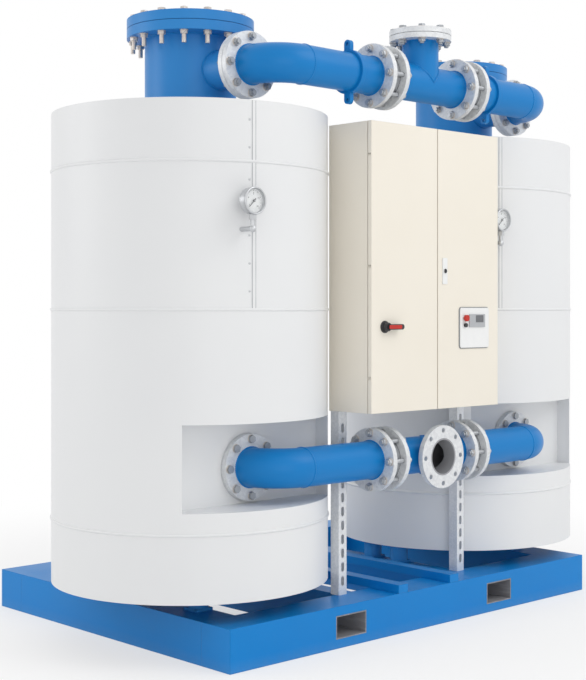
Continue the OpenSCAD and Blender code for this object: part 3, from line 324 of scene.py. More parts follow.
mastic = moulded_plastic("grey_silicone_mastic", "#C3C5C7", "#B4B6B9", 0.55, 4 * mm)
seal_rubber = moulded_plastic("grey_panel_seal", "#8B8E92", "#7D8084", 0.6)
foam = speckled("black_door_foam", "#2E2F31", "#3C3D40", 1.5 * mm, 0.9, 0.6 * mm)
dial_white = moulded_plastic("white_dial_enamel", "#F3F4F4", "#EEEFEF", 0.5)
print_black = moulded_plastic("black_dial_print", "#222224", "#1C1C1E", 0.6)
screen_dark = moulded_plastic("tinted_display_pane", "#6F7175", "#66686C", 0.16)
duct_grey = moulded_plastic("grey_pvc_duct", "#C2C5C7", "#B6B9BC", 0.5)
wire_pvc = moulded_plastic("blue_pvc_wire", "#2B4F8E", "#24457E", 0.45)
device_dark = moulded_plastic("dark_device_front", "#4A4E52", "#3F4346", 0.45)


def both(*parts):
    """The nodes of these parts on the left and the right."""
    return [f"{side}_{part}" for side in sides for part in parts]


by_finish = [
    (skid_blue, ["front_rail", "rear_rail", "end_rails", "cross_members", "conduit_bars"]),
    (pocket_steel(), ["fork_pockets"]),
    (vessel_blue, both("vessel", "neck_cover")),
    (beads, both("desiccant_bed")),
    (wool(), both("insulation")),
    (sheet_white, both("base_band", "main_band", "upper_band", "top_band")),
    (pipe_blue, both("upper_bend", "lower_bend") + ["upper_tee", "lug_collars"]),
    (bored_blue, ["lower_tee"]),
    (flange_grey, ["weld_flanges", "pipe_flanges", "port_flange", "vent_blind"]),
    (fibre, ["gaskets"]),
    (valve_steel, ["valve_bodies"] + [f"{level}_{side}_disc" for level in ("upper", "lower") for side in sides]),
    (bolt_front, ["flange_bolts"]),
    (bolt_along, ["valve_studs"]),
    (bolt_up, ["cover_bolts"]),
    (cream, both("door") + ["cabinet_body"]),
    (gear_plate(plate_high.y - 12 * mm), ["mounting_plate"]),
    (strut_grey, ["strut_posts"]),
    (black, ["switch_base", "switch_handle", "lock_barrel", "start_button"]),
    (red, ["stop_button"]),
    (white, ["lock_plate", "operator_panel"]),
    (display_grey, ["display"]),
    (gauge_steel, both("gauge")),
    (needle_black, both("needle")),
    (clear_glass(), ["gauge_glasses"]),
]
for finish, nodes in by_finish:
    for node in nodes:
        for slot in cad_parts[node].material_slots:
            slot.material = finish


# Places, in metres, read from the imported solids
def middle(node):
    low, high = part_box(node)
    return (low + high) / 2


towers = {side: middle(f"{side}_base_band") for side in sides}
tower_x, tower_y = towers["right"].x, towers["right"].y
base_low, base_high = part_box("left_base_band")
jacket_r = (base_high.x - base_low.x) / 2
jacket_z0 = base_low.z
main_z0, upper_z0, top_z0 = (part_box(f"left_{band}_band")[0].z for band in ("main", "upper", "top"))
jacket_z1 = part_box("left_top_band")[1].z
cover_low, cover_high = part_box("left_neck_cover")
cover_t = cover_high.z - cover_low.z
tee_low, tee_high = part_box("upper_tee")
tee_half = tee_high.x
head_y = (tee_low.y + tee_high.y) / 2
pipe_r = (tee_high.y - tee_low.y) / 2
up_z = tee_low.z + pipe_r
vent_z = tee_high.z
low_z = (open_low.z + open_high.z) / 2
flange_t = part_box("port_flange")[1].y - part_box("port_flange")[0].y
blind_z1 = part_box("vent_blind")[1].z
joint_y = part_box("left_lower_bend")[1].y
rail_low, rail_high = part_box("front_rail")
rail_w = rail_high.y - rail_low.y

# Sizes that the boxes do not give
neck_r = 203.2 * mm
gasket_t = 2 * mm
valve_l = 56 * mm
bend_r = 152.4 * mm
flange_n, flange_pcd = 8, 240 * mm
cover_n, cover_pcd = 16, 515 * mm
cross_member_w = 90 * mm
pair_x = tee_half + valve_l + 2 * gasket_t


# Geometry node trees
def new_tree(name, sockets):
    """An empty tree with a Geometry input, the named inputs and a Geometry output; gives it with its inputs."""
    tree = bpy.data.node_groups.new(name, "GeometryNodeTree")
    tree.interface.new_socket("Geometry", in_out="INPUT", socket_type="NodeSocketGeometry")
    for label, kind in sockets.items():
        tree.interface.new_socket(label, in_out="INPUT", socket_type="NodeSocket" + kind)
    tree.interface.new_socket("Geometry", in_out="OUTPUT", socket_type="NodeSocketGeometry")
    return tree, put(tree, "NodeGroupInput").outputs


def close_tree(tree, shape, material):
    """Ends a tree: real mesh instead of instances, and one finish."""
    real = put(tree, "GeometryNodeRealizeInstances", {0: shape})
    done = put(tree, "GeometryNodeSetMaterial", {"Geometry": real, "Material": material})
    put(tree, "NodeGroupOutput", {0: done})
    return tree


def bead_tree():
    """A round bead along every path: rippled for a weld, plain for a seam or seal."""
    tree, given = new_tree("bead_along_path", {"Radius": "Float", "Step": "Float", "Ripple pitch": "Float",
                                               "Ripple height": "Float", "Sides": "Int", "Finish": "Material"})
    path = put(tree, "GeometryNodeMeshToCurve", {"Mesh": given["Geometry"]})
    even = put(tree, "GeometryNodeResampleCurve", {"Curve": path, "Length": given["Step"]}, mode="LENGTH")
    run = put(tree, "GeometryNodeSplineParameter")
    kept = put(tree, "GeometryNodeCaptureAttribute", {0: even}, domain="POINT")
    kept.capture_items.new("FLOAT", "Run")
    feed(kept, {1: run.outputs["Length"]})
    loop = put(tree, "GeometryNodeCurvePrimitiveCircle", {"Resolution": given["Sides"], "Radius": given["Radius"]})
    tube = put(tree, "GeometryNodeCurveToMesh", {"Curve": kept, "Profile Curve": loop, "Fill Caps": True})
    waves = calc(tree, "DIVIDE", kept.outputs[1], given["Ripple pitch"])
    angle = calc(tree, "MULTIPLY", waves, 2 * math.pi)
    wave = calc(tree, "SINE", angle)
    lift = calc(tree, "MULTIPLY", wave, given["Ripple height"])
    facing = put(tree, "GeometryNodeInputNormal")
    offset = put(tree, "ShaderNodeVectorMath", {0: facing, "Scale": lift}, operation="SCALE")
    moved = put(tree, "GeometryNodeSetPosition", {"Geometry": tube, "Offset": offset})
    smooth = put(tree, "GeometryNodeSetShadeSmooth", {"Geometry": moved})
    return close_tree(tree, smooth, given["Finish"])


def fastener_tree():
    """One small part on every point, turned so that its own Z follows the point's facing."""
    tree, given = new_tree("part_on_points", {"Part": "Object", "Finish": "Material"})
    facing = put(tree, "GeometryNodeInputNamedAttribute", {"Name": "facing"}, data_type="FLOAT_VECTOR")
    turn = put(tree, "FunctionNodeAlignRotationToVector", {"Vector": facing}, axis="Z")
    part = put(tree, "GeometryNodeObjectInfo", {"Object": given["Part"]})
    points = put(tree, "GeometryNodeMeshToPoints", {"Mesh": given["Geometry"]})
    placed = put(tree, "GeometryNodeInstanceOnPoints", {"Points": points, "Rotation": turn,
                                                        "Instance": part.outputs["Geometry"]})
    return close_tree(tree, placed, given["Finish"])


def tick_tree():
    """Printed scale marks on an arc, each standing along the dial's radius."""
    tree, given = new_tree("dial_marks", {"Count": "Int", "Radius": "Float", "Mark size": "Vector",
                                          "Start": "Float", "Sweep": "Float", "Finish": "Material"})
    arc = put(tree, "GeometryNodeCurveArc", {"Resolution": given["Count"], "Radius": given["Radius"],
                                             "Start Angle": given["Start"], "Sweep Angle": given["Sweep"]})
    mark = put(tree, "GeometryNodeMeshCube", {"Size": given["Mark size"]})
    out = put(tree, "GeometryNodeInputPosition")
    turn = put(tree, "FunctionNodeAlignRotationToVector", {"Vector": out}, axis="X")
    placed = put(tree, "GeometryNodeInstanceOnPoints", {"Points": arc, "Instance": mark, "Rotation": turn})
    return close_tree(tree, placed, given["Finish"])


bead = bead_tree()
on_points = fastener_tree()
marks = tick_tree()


def grow(name, tree, mesh, inputs):
    """Runs a tree on a mesh and keeps the result as a plain mesh object."""
    obj = bpy.data.objects.new(name, mesh)
    scene.collection.objects.link(obj)
    modifier = obj.modifiers.new("shape", "NODES")
    modifier.node_group = tree
    ids = {i.name: i.identifier for i in tree.interface.items_tree if i.in_out == "INPUT"}
    for label, value in inputs.items():
        modifier[ids[label]] = value
    bpy.context.view_layer.update()
    seen = obj.evaluated_get(bpy.context.evaluated_depsgraph_get())
    plain = bpy.data.meshes.new_from_object(seen)
    plain.name = name
    obj.modifiers.clear()
    obj.data = plain
    bpy.data.meshes.remove(mesh)
    return obj


# Meshes, paths and places
def new_mesh(verts, edges, faces):
    """A mesh from its points, edges and faces."""
    mesh = bpy.data.meshes.new("shape")
    mesh.from_pydata([tuple(v) for v in verts], edges, faces)
    return mesh


def path_mesh(paths):
    """Paths as bare edges: each a list of points and whether it closes."""
    points, edges = [], []
    for line, closed in paths:
        first = len(points)
        points += line
        edges += [(first + i, first + i + 1) for i in range(len(line) - 1)]
        if closed:
            edges.append((len(points) - 1, first))
    return new_mesh(points, edges, [])


def point_mesh(places):
    """Points with a facing, for parts that sit on a surface."""
    mesh = new_mesh([spot for spot, way in places], [], [])
    facing = mesh.attributes.new("facing", "FLOAT_VECTOR", "POINT")
    for item, (spot, way) in zip(facing.data, places):
        item.vector = way
    return mesh


def turns(n):
    """The angles of n equal steps round a circle."""
    return [2 * math.pi * i / n for i in range(n)]


def ring(centre, axis, radius, n=72):
    """A closed circle about an axis."""
    turn = Vector(along_z).rotation_difference(Vector(axis)).to_matrix()
    return [Vector(centre) + turn @ Vector((radius * math.cos(a), radius * math.sin(a), 0)) for a in turns(n)], True


def lathe(profile, n):
    """A closed profile of radius and height in mm, turned about Z; a radius of zero closes to a pole."""
    verts, faces, rows = [], [], []
    for r, z in profile:
        if r == 0:
            rows.append([len(verts)] * n)
            verts.append((0, 0, z * mm))
        else:
            rows.append(list(range(len(verts), len(verts) + n)))
            verts += [(r * mm * math.cos(a), r * mm * math.sin(a), z * mm) for a in turns(n)]
    for a, b in zip(rows, rows[1:] + rows[:1]):
        for i in range(n):
            j = (i + 1) % n
            face = list(dict.fromkeys((a[i], a[j], b[j], b[i])))
            if len(face) > 2:
                faces.append(face)
    return new_mesh(verts, [], faces)


def loft(loops, ring_shape=False):
    """Skins loops of equal length, given as 3-D points; the ends are capped, or the last loop joins the first."""
    n, count = len(loops[0]), len(loops)
    faces = []
    for k in range(count if ring_shape else count - 1):
        m = (k + 1) % count
        for i in range(n):
            j = (i + 1) % n
            faces.append((k * n + i, k * n + j, m * n + j, m * n + i))
    if not ring_shape:
        faces += [tuple(range(n)), tuple(range((count - 1) * n, count * n))]
    return new_mesh([p for loop in loops for p in loop], [], faces)


def join(meshes):
    """Several closed meshes as one."""
    joined = bmesh.new()
    for mesh in meshes:
        joined.from_mesh(mesh)
        bpy.data.meshes.remove(mesh)
    whole = bpy.data.meshes.new("joined")
    joined.to_mesh(whole)
    joined.free()
    return whole


def outward(mesh):
    """Welds a mesh's doubled points and turns its faces outwards."""
    shaped = bmesh.new()
    shaped.from_mesh(mesh)
    bmesh.ops.remove_doubles(shaped, verts=shaped.verts, dist=1e-7)
    bmesh.ops.recalc_face_normals(shaped, faces=shaped.faces)
    shaped.to_mesh(mesh)
    shaped.free()


def round_box(w, h, r, n=8):
    """Points of a rounded rectangle about the origin, in its own plane."""
    out = []
    for cx, cy, start in ((1, 1, 0), (-1, 1, 90), (-1, -1, 180), (1, -1, 270)):
        for i in range(n + 1):
            a = math.radians(start + 90 * i / n)
            out.append((cx * (w / 2 - r) + r * math.cos(a), cy * (h / 2 - r) + r * math.sin(a)))
    return out


def front_loop(centre, w, h, r, d):
    """A rounded rectangle facing the front, at a depth d in front of a centre."""
    return [(centre[0] + x, centre[1] - d, centre[2] + z) for x, z in round_box(w, h, r)]


def slab(centre, *outlines):
    """A slab facing the front: rounded outlines given as width, height, corner and depth in mm."""
    return loft([front_loop(centre, *(size * mm for size in outline)) for outline in outlines])


def frame_ring(centre, outer, inner, near, far):
    """A rounded frame facing the front, between an outer and an inner outline and two depths."""
    return loft([front_loop(centre, *outer, near), front_loop(centre, *outer, far),
                 front_loop(centre, *inner, far), front_loop(centre, *inner, near)], ring_shape=True)


# Pieces
def wear(obj, body):
    """Hands a finished piece to its body."""
    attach(obj, body)


def add_piece(name, mesh, finish, body="machine"):
    """A finished mesh as a piece with one finish."""
    outward(mesh)
    mesh.materials.clear()
    mesh.materials.append(finish)
    obj = bpy.data.objects.new(name, mesh)
    scene.collection.objects.link(obj)
    wear(obj, body)


def add_bead(name, paths, finish, radius, step, count, pitch=1.0, height=0.0):
    """A bead of count sides along paths on the machine; pitch and height are those of its ripple."""
    run = grow(name, bead, path_mesh(paths), {"Radius": radius, "Step": step, "Ripple pitch": pitch,
                                              "Ripple height": height, "Sides": count, "Finish": finish})
    wear(run, "machine")


def add_copies(name, mesh, places, finish):
    """A small part, drawn about its foot, copied to places on the machine."""
    outward(mesh)
    part = bpy.data.objects.new("template", mesh)
    scene.collection.objects.link(part)
    copies = grow(name, on_points, point_mesh(places), {"Part": part, "Finish": finish})
    bpy.data.objects.remove(part)
    wear(copies, "machine")


# Cladding: rolled beads over the band joints, mastic round the necks and on the front laps, lap strips, blind rivets
lap_turn = {"left": math.radians(14), "right": math.radians(28)}
rear_turn = {"left": 0.2, "right": -0.2}
lap_half, lap_rivet = 7.6 * mm, 20 * mm
bead_sunk, bead_drop = 1.6 * mm, 0.6 * mm
strip_w, strip_t, strip_sunk, strip_end, neck_gap = 40 * mm, 1.4 * mm, 1 * mm, 8 * mm, 16 * mm
strip_skew = 0.35
rivet_profile = [(0, 2.6), (2.2, 2.4), (4, 1.5), (5.2, 0.5), (5.3, -0.6), (0, -0.6)]


def upright_strip(axis, turn, z0, z1):
    """A strip of sheet lapped over a tower's upright seam, curved with the tower."""
    half = strip_w / 2 / jacket_r
    angles = [turn - half + 2 * half * i / 6 for i in range(7)]
    outline = [(jacket_r + strip_t, a) for a in angles] + [(jacket_r - strip_sunk, a) for a in reversed(angles)]
    return loft([[(axis.x + r * math.cos(a), axis.y + r * math.sin(a), z) for r, a in outline] for z in (z0, z1)])


def cap_strip(axis, turn):
    """A strip of sheet lapped over a seam of a tower's flat cap, from the neck to the rim."""
    along = Vector((math.cos(turn), math.sin(turn), 0))
    across = Vector((-along.y, along.x, 0)) * strip_w / 2
    near, far = along * (neck_r + neck_gap), along * (jacket_r - strip_end)
    outline = [near - across, far - across, far + across, near + across]
    return loft([[(axis.x + p.x, axis.y + p.y, z) for p in outline]
                 for z in (jacket_z1 - strip_sunk, jacket_z1 + strip_t)])


for side, axis in towers.items():
    joints = [ring((axis.x, axis.y, z - bead_drop), along_z, jacket_r - bead_sunk, 160)
              for z in (main_z0, upper_z0, top_z0)]
    add_bead(f"{side}_rolled_beads", joints, sheet_white, radius=7 * mm, step=24 * mm, count=10)
    collar = ring((axis.x, axis.y, jacket_z1 + 1 * mm), along_z, neck_r + 5 * mm, 120)
    add_bead(f"{side}_neck_mastic", [collar], mastic, radius=7 * mm, step=12 * mm, count=10,
             pitch=90 * mm, height=0.4 * mm)

    lap = 1.5 * math.pi - lap_turn[side]
    edges = []
    for offset in (-lap_half, lap_half):
        a = lap + offset / jacket_r
        x, y = axis.x + (jacket_r + 0.4 * mm) * math.cos(a), axis.y + (jacket_r + 0.4 * mm) * math.sin(a)
        edges += [([(x, y, z0 + 2 * mm), (x, y, z1 - 3 * mm)], False)
                  for z0, z1 in ((upper_z0, top_z0), (top_z0, jacket_z1))]
    add_bead(f"{side}_lap_mastic", edges, mastic, radius=1.9 * mm, step=20 * mm, count=8,
             pitch=130 * mm, height=0.15 * mm)

    rear = 0.5 * math.pi + rear_turn[side]
    cap_turns = [rear + math.pi * i for i in (0.25, 1.25)]
    strips = [upright_strip(axis, rear + skew, z0 + strip_end, z1 - strip_end)
              for skew, z0, z1 in ((0.0, jacket_z0, main_z0), (strip_skew, main_z0, upper_z0))]
    strips += [cap_strip(axis, turn) for turn in cap_turns]
    add_piece(f"{side}_lap_strips", join(strips), sheet_white)

    # Rivet rows: the turn, the heights, and how far the heads' sheet stands out from the jacket
    lap_heights = [jacket_z1 - h * mm for h in (81, 194)] + [upper_z0 + h * mm for h in (74, 187, 301, 414, 528)]
    rows = [(lap - lap_rivet / jacket_r, lap_heights, 0.0),
            (rear, [jacket_z0 + h * mm for h in (40, 140, 240)], strip_t),
            (rear + strip_skew, [main_z0 + h * mm for h in range(60, 860, 113)], strip_t)]
    heads = []
    for turn, heights, proud in rows:
        way = Vector((math.cos(turn), math.sin(turn), 0))
        heads += [(Vector((axis.x, axis.y, z)) + way * (jacket_r + proud), way) for z in heights]
    for turn in cap_turns:
        way = Vector((math.cos(turn), math.sin(turn), 0))
        heads += [(Vector((axis.x, axis.y, jacket_z1 + strip_t)) + way * r * mm, along_z) for r in range(250, 600, 80)]
    add_copies(f"{side}_blind_rivets", lathe(rivet_profile, 12), heads, gauge_steel)


# Bolted flanges: the middle of the face under the heads or nuts, the way it looks, and the way to its first bolt
header_flanges, neck_faces = [], []
for sign in (-1, 1):
    for z in (low_z, up_z):
        header_flanges += [((sign * tower_x, joint_y - flange_t, z), (0, -1, 0), along_x),
                           ((sign * (tee_half - flange_t), head_y, z), (-sign, 0, 0), along_z),
                           ((sign * (pair_x + flange_t), head_y, z), (sign, 0, 0), along_z)]
    header_flanges.append(((sign * tower_x, joint_y + gasket_t + flange_t, up_z), along_y, along_x))
    neck_faces += [((sign * tower_x, tower_y, cover_high.z), along_z, along_x),
                   ((sign * tower_x, tower_y, cover_low.z - gasket_t - cover_t), (0, 0, -1), along_x)]
header_flanges.append(((0, head_y, vent_z - flange_t), (0, 0, -1), along_x))


# Welds on the pipework: fillets behind the flanges, butts on the bends, saddles on the tees and necks
def saddle(place):
    """A closed seam round a branch pipe; place puts a point of the pipe's own circle on the other pipe."""
    return [place(pipe_r * math.cos(a), pipe_r * math.sin(a)) for a in turns(96)], True


seams = [ring(centre, [abs(part) for part in way], pipe_r) for centre, way, first in header_flanges]
for sign in (-1, 1):
    x0 = sign * tower_x
    seams += [ring((x0 - sign * bend_r, head_y, z), along_x, pipe_r - 2 * mm) for z in (low_z, up_z)]
    seams.append(ring((x0, tower_y, cover_low.z - gasket_t - cover_t), along_z, neck_r, 120))
    seams.append(saddle(lambda x, z: (x0 + x, tower_y - math.sqrt(neck_r ** 2 - x * x), up_z + z)))
seams.append(ring((0, open_low.y + flange_t, low_z), along_y, pipe_r))
seams.append(saddle(lambda x, y: (x, head_y + y, up_z + abs(x))))
seams.append(saddle(lambda x, z: (x, head_y - abs(x), low_z + z)))
add_bead("pipe_welds", seams, pipe_blue, radius=5 * mm, step=2.6 * mm, count=8,
         pitch=8 * mm, height=0.7 * mm)


# Welds on the skid: upright fillets where the members meet the long rails
corners = []
for node, insets in (("cross_members", (0.0, cross_member_w)), ("end_rails", (rail_w,))):
    low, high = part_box(node)
    for x in (sign * (high.x - inset) for sign in (-1, 1) for inset in insets):
        corners += [([(x, y, 6 * mm), (x, y, rail_high.z - 3 * mm)], False) for y in (low.y, high.y)]
add_bead("skid_welds", corners, skid_blue, radius=6 * mm, step=3 * mm, count=8,
         pitch=9 * mm, height=0.8 * mm)


# Plain washers under the heads and nuts
def bolt_circle(centre, axis, start, n, pcd):
    """Bolt places on a flange, from the axis that the bolts are counted from."""
    normal, first = Vector(axis), Vector(start)
    second = normal.cross(first)
    return [(Vector(centre) + pcd / 2 * (first * math.cos(a) + second * math.sin(a)), normal) for a in turns(n)]


washer = lathe([(10.4, 0), (18.4, 0), (18.6, 2.4), (18, 3), (10.4, 3)], 20)
seats = [seat for face in neck_faces for seat in bolt_circle(*face, cover_n, cover_pcd)]
for face in header_flanges + [((0, head_y, blind_z1), along_z, along_x)]:
    seats += bolt_circle(*face, flange_n, flange_pcd)
add_copies("plain_washers", washer, seats, bolt_up)


# Gauges: a dial with its scale, and a rolled bezel over the glass
to_front = Matrix.Rotation(math.radians(90), 4, "X")  # turns a part drawn along Z to face the front
# The dial in mm: its back against the case's front, its thickness, its hole and its inset from the case's radius
dial_z, dial_t, dial_hole, dial_inset = -15, 0.8, 2.8, 4.6
scale_start, scale_sweep = math.radians(-45), math.radians(270)
mark_rows = (("long_marks", 9, 41 * mm, (6.5 * mm, 1.5 * mm, 0.2 * mm)),
             ("short_marks", 41, 42.2 * mm, (3.6 * mm, 0.7 * mm, 0.2 * mm)))
# The bezel's profile in mm: out from the case's radius, and forward of its front
bezel_profile = [(0.3, -9), (2.2, -8.4), (2.6, -1), (1.6, 1.4), (-0.8, 2.5), (-3.4, 2.2), (-5.6, 0.2), (0.3, 0.2)]


def dial_numbers(values, radius, size):
    """Scale numbers as one flat mesh, read from the front, set clockwise over the scale."""
    flats = []
    for i, value in enumerate(values):
        curve = bpy.data.curves.new("number", "FONT")
        curve.body = str(value)
        curve.size = size
        curve.align_x = "CENTER"
        curve.align_y = "CENTER"
        curve.extrude = 0.1 * mm
        holder = bpy.data.objects.new("number", curve)
        scene.collection.objects.link(holder)
        bpy.context.view_layer.update()
        flat = bpy.data.meshes.new_from_object(holder.evaluated_get(bpy.context.evaluated_depsgraph_get()))
        bpy.data.objects.remove(holder)
        bpy.data.curves.remove(curve)
        a = scale_start + scale_sweep * (1 - i / (len(values) - 1))
        flat.transform(Matrix.Translation((radius * math.cos(a), radius * math.sin(a), 0)))
        flats.append(flat)
    return join(flats)


for side in sides:
    low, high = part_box(f"{side}_gauge")
    case_r = (high.x - low.x) / 2
    case_front = Matrix.Translation(((low.x + high.x) / 2, low.y, high.z - case_r)) @ to_front
    on_dial = case_front @ Matrix.Translation((0, 0, (dial_z + dial_t + 0.1) * mm))
    face_r = case_r / mm - dial_inset
    face = lathe([(dial_hole, dial_z), (face_r, dial_z), (face_r, dial_z + dial_t - 0.3),
                  (face_r - 0.4, dial_z + dial_t), (dial_hole, dial_z + dial_t)], 72)
    face.transform(case_front)
    add_piece(f"{side}_dial_face", face, dial_white)
    for label, count, reach, size in mark_rows:
        scale = grow(f"{side}_dial_{label}", marks, bpy.data.meshes.new("empty"),
                     {"Count": count, "Radius": reach, "Mark size": size, "Start": scale_start,
                      "Sweep": scale_sweep, "Finish": print_black})
        scale.data.transform(on_dial)
        wear(scale, "machine")
    figures = dial_numbers((0, 4, 8, 12, 16), radius=29 * mm, size=12 * mm)
    figures.transform(on_dial)
    add_piece(f"{side}_dial_numbers", figures, print_black)
    rim = lathe([(case_r / mm + r, z) for r, z in bezel_profile], 96)
    rim.transform(case_front)
    rim.shade_smooth()
    add_piece(f"{side}_gauge_bezel", rim, gauge_steel)


# Controls on the doors, and the seals: how much wider than the panel, or narrower than a door, their outlines are
panel_outer, panel_inner = 7 * mm, 0.4 * mm
door_outer, door_inner = 31 * mm, 49 * mm
axis_point = middle("switch_base")
low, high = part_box("switch_handle")
lever_start, lever_end = axis_point.x - 4 * mm, high.x - 17 * mm
lever_l = (lever_end - lever_start) / mm
inlay = slab(((lever_start + lever_end) / 2, low.y, axis_point.z),
             (lever_l, 17, 5, 0), (lever_l, 17, 5, 1.6), (lever_l - 2, 15, 4, 2.4))
add_piece("lever_inlay", inlay, red, "switch_handle")

lock_at = middle("lock_plate")
boss = lathe([(10.5, 0), (14, 0), (14, 1.8), (13, 2.8), (11.2, 2.8), (10.5, 2)], 40)
boss.transform(Matrix.Translation((lock_at.x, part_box("lock_plate")[0].y, lock_at.z)) @ to_front)
add_piece("lock_boss", boss, white, "right_door")

low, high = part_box("operator_panel")
wide, tall = high.x - low.x, high.z - low.z
seal = frame_ring(((low.x + high.x) / 2, high.y, (low.z + high.z) / 2),
                  (wide + panel_outer, tall + panel_outer, 15 * mm), (wide + panel_inner, tall + panel_inner, 12 * mm),
                  0.0, 3 * mm)
add_piece("panel_seal", seal, seal_rubber, "right_door")

low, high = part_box("display")
# The pane's window in the display is 57 by 33 mm, 45 and 22 mm in from its lower left corner and 2 mm deep
pane = slab((low.x + (45 + 57 / 2) * mm, low.y + 2 * mm, low.z + (22 + 33 / 2) * mm),
            (56.4, 32.4, 1.5, 0.1), (56.4, 32.4, 1.5, 1.2), (55, 31, 1.2, 1.6))
add_piece("display_pane", pane, screen_dark, "right_door")

for side in sides:
    low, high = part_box(f"{side}_door")
    wide, tall = high.x - low.x, high.z - low.z
    strip = frame_ring(((low.x + high.x) / 2, low.y + 2 * mm, (low.z + high.z) / 2),
                       (wide - door_outer, tall - door_outer, 12 * mm), (wide - door_inner, tall - door_inner, 6 * mm),
                       0.0, low.y - high.y - 1.2 * mm)
    add_piece(f"{side}_door_seal", strip, foam, f"{side}_door")


# Control gear on the mounting plate: device fronts with terminal screws, slotted ducts, and the wires between them
plate_w, plate_h = plate_high.x - plate_low.x, plate_high.z - plate_low.z
plate_front = plate_high.y - 3 * mm
facing_front = Vector((0, -1, 0))
duct_zs = [plate_low.z + plate_h * share for share in (0.115, 0.395, 0.675, 0.945)]
# Rows of devices: their foot as a share of the plate's height, and how far they stand out
device_rows = ((0.24, 90 * mm), (0.52, 76 * mm), (0.8, 100 * mm))
device_half_h = 17.5 * mm
# Devices in a row: their number, and the first one's edge, the step and half a device as shares of the plate's width
device_n, device_edge, device_step, device_half = 5, 0.1, 0.155, 0.065
# Terminals across a device in mm, and those with wires
terminals, wired = (-36, -18, 0, 18, 36), (-36, 0, 36)
# How far above or below a device's middle its screws and wire ends lie, and how far the ends are behind its front
screw_rise, wire_rise, wire_sunk = 37 * mm, 48 * mm, 14 * mm
# Where a wire enters a duct: aside of its terminal, out from the plate, and short of the duct's middle
slot_aside, slot_out, slot_short = 5 * mm, 34 * mm, 27 * mm


def lead(terminal, slot, way):
    """A wire that leaves a terminal forwards and up or down, and bends into a duct."""
    a, d = Vector(terminal), Vector(slot)
    b = a + Vector((0, -6 * mm, way * 26 * mm))
    c = d - Vector((0, 0, way * 24 * mm))
    return [a * (1 - t) ** 3 + b * 3 * t * (1 - t) ** 2 + c * 3 * t * t * (1 - t) + d * t ** 3
            for t in (k / 9 for k in range(10))], False


noses, knobs, screws, wires = [], [], [], []
for share, out in device_rows:
    y, z = plate_front - out, plate_low.z + plate_h * share + device_half_h
    above, below = min(d for d in duct_zs if d > z), max(d for d in duct_zs if d < z)
    for i in range(device_n):
        x = plate_low.x + plate_w * (device_edge + device_step * i + device_half)
        noses.append(slab((x, y, z), (88, 44, 3, 0), (88, 44, 3, 7), (85, 41, 2.5, 8.5)))
        knobs.append(slab((x + 18 * mm, y, z), (16, 26, 3, 8), (16, 26, 3, 15), (13, 22, 2.5, 17)))
        for dx in terminals:
            for way, duct_z in ((1, above), (-1, below)):
                screws.append((Vector((x + dx * mm, y, z + way * screw_rise)), facing_front))
                if dx in wired:
                    wires.append(lead((x + dx * mm, y + wire_sunk, z + way * wire_rise),
                                      (x + dx * mm + slot_aside, plate_front - slot_out, duct_z - way * slot_short),
                                      way))
add_piece("device_fronts", join(noses), device_dark)
add_piece("device_knobs", join(knobs), black)
screw = lathe([(0, 1.6), (3.4, 1.6), (4, 1), (4, -0.5), (0, -0.5)], 12)
add_copies("terminal_screws", screw, screws, bolt_up)
add_bead("device_wires", wires, wire_pvc, radius=1.7 * mm, step=5 * mm, count=6)

duct_w, duct_wall, tooth_pitch = plate_w * 0.86, 28 * mm, 12.5 * mm
duct_mm = duct_w / mm
tooth_foot = [(x * mm, y * mm) for x, y in ((-4, -1), (4, -1), (4, 1), (-4, 1))]
tooth = loft([[(x, y, h * mm) for x, y in tooth_foot] for h in (2, 55)])
teeth, covers = [], []
for z in duct_zs:
    for sign in (-1, 1):
        teeth += [(Vector((-duct_w / 2 + (k + 0.5) * tooth_pitch, plate_front, z + sign * duct_wall)), facing_front)
                  for k in range(int(duct_w / tooth_pitch))]
    covers.append(slab((0, plate_front, z), (duct_mm, 58, 1, 0), (duct_mm, 58, 1, 2.5)))
    covers.append(slab((0, plate_front, z), (duct_mm, 58, 2, 54), (duct_mm, 58, 2, 57), (duct_mm - 4, 55, 2, 58)))
add_copies("duct_teeth", tooth, teeth, duct_grey)
add_piece("duct_lids", join(covers), duct_grey)

# Push-in plugs in the rear ends of the conduit bars: width, height and corner, and how far in front of the end
low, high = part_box("conduit_bars")
bar_half_w = 31 * mm
for side, sign in (("left", -1), ("right", 1)):
    plug = slab((sign * (high.x - bar_half_w), high.y, (low.z + high.z) / 2),
                (55, 31, 3, 18), (55, 31, 3, -0.1), (61, 37, 3, -0.2), (61, 37, 3, -2.2), (57, 33, 3, -3.4))
    add_piece(f"{side}_bar_plug", plug, black)


# Studio: white surround, pale floor that keeps the shadow, a large soft key light, a rim light and a fill
def seen_directly(tree):
    """1 for camera, mirror and see-through rays, 0 for the light that falls on the object."""
    ray = put(tree, "ShaderNodeLightPath").outputs
    some = calc(tree, "MAXIMUM", ray["Is Camera Ray"], ray["Is Glossy Ray"])
    return calc(tree, "MAXIMUM", some, ray["Is Transmission Ray"])


plain_white = (1.0, 1.0, 1.0, 1.0)
world_light = 0.74
floor_half, floor_z = 60.0, -0.5 * mm
world = bpy.data.worlds.new("studio")
scene.world = world
world.use_nodes = True
tree = world.node_tree
level = spread(tree, seen_directly(tree), 0.0, 1.0, world_light, 1.0)
feed(tree.nodes["Background"], {"Color": plain_white, "Strength": level})

floor_mat, tree, shader, place = start_finish("pale_studio_floor", "#F4F4F4", 0.7)
glow = put(tree, "ShaderNodeEmission", {"Color": plain_white, "Strength": 1.0})
reach = put(tree, "ShaderNodeVectorMath", {0: place}, operation="LENGTH")
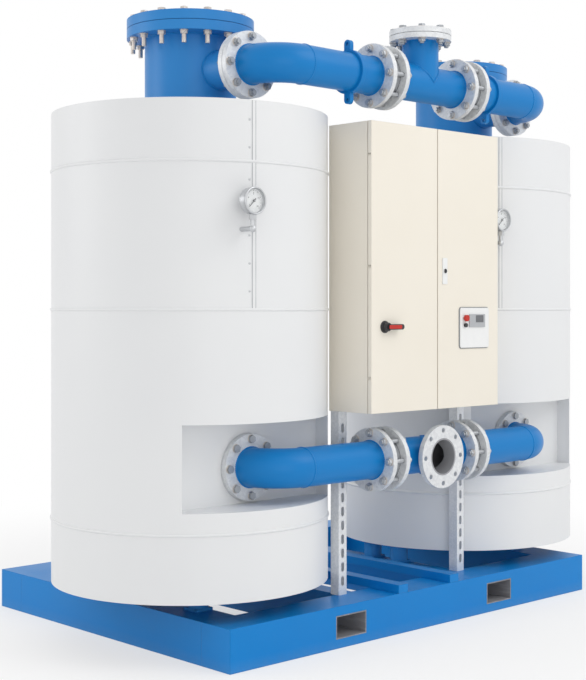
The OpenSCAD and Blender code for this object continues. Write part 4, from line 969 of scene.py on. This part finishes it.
# The floor keeps most of its shade near the machine, and is white from 4 m on
fade = spread(tree, reach.outputs["Value"], 1.4, 4.0, 0.6, 1.0, interpolation_type="SMOOTHSTEP")
amount = calc(tree, "MULTIPLY", fade, seen_directly(tree))
mixed = put(tree, "ShaderNodeMixShader", {0: amount, 1: shader, 2: glow})
feed(tree.nodes["Material Output"], {"Surface": mixed})
floor_mesh = new_mesh([(x * floor_half, y * floor_half, floor_z) for x, y in ((-1, -1), (1, -1), (1, 1), (-1, 1))],
                      [], [(0, 1, 2, 3)])
floor_mesh.materials.append(floor_mat)
studio_floor = bpy.data.objects.new("studio_floor", floor_mesh)
scene.collection.objects.link(studio_floor)

# Area lamps: place, what they look at, size in metres and power in watts
for name, spot, target, size, power in (("key_light", (2.4, -5.8, 6.6), (0.0, -0.4, 1.2), 4.5, 145.0),
                                        ("rim_light", (-6.0, 4.0, 3.4), (-0.9, -0.2, 1.4), 3.5, 75.0),
                                        ("front_light", (-4.2, -7.2, 2.2), (-0.2, -0.4, 1.1), 4.5, 60.0)):
    lamp = bpy.data.lights.new(name, "AREA")
    lamp.energy = power
    lamp.size = size
    holder = bpy.data.objects.new(name, lamp)
    holder.location = spot
    holder.rotation_euler = (Vector(target) - Vector(spot)).to_track_quat("-Z", "Y").to_euler()
    scene.collection.objects.link(holder)

# Camera: level, from the front left; the shift puts the horizon above the middle of the 586 x 680 frame
frame_h, focal_px, horizon_px = 680, 1356.9, 308.57
eye_x, eye_before_rail, eye_z, eye_turn = -4.7093, 4.1084, 1.4573, math.radians(-43.16)
lens = bpy.data.cameras.new("view")
lens.sensor_width = 36.0
lens.lens = focal_px * lens.sensor_width / frame_h
lens.shift_y = (horizon_px - frame_h / 2) / frame_h
lens.clip_end = 200.0
camera = bpy.data.objects.new("view", lens)
camera.location = (eye_x, rail_low.y - eye_before_rail, eye_z)
camera.rotation_euler = (math.radians(90), 0.0, eye_turn)
scene.collection.objects.link(camera)
scene.camera = camera
scene.view_settings.view_transform = "Standard"
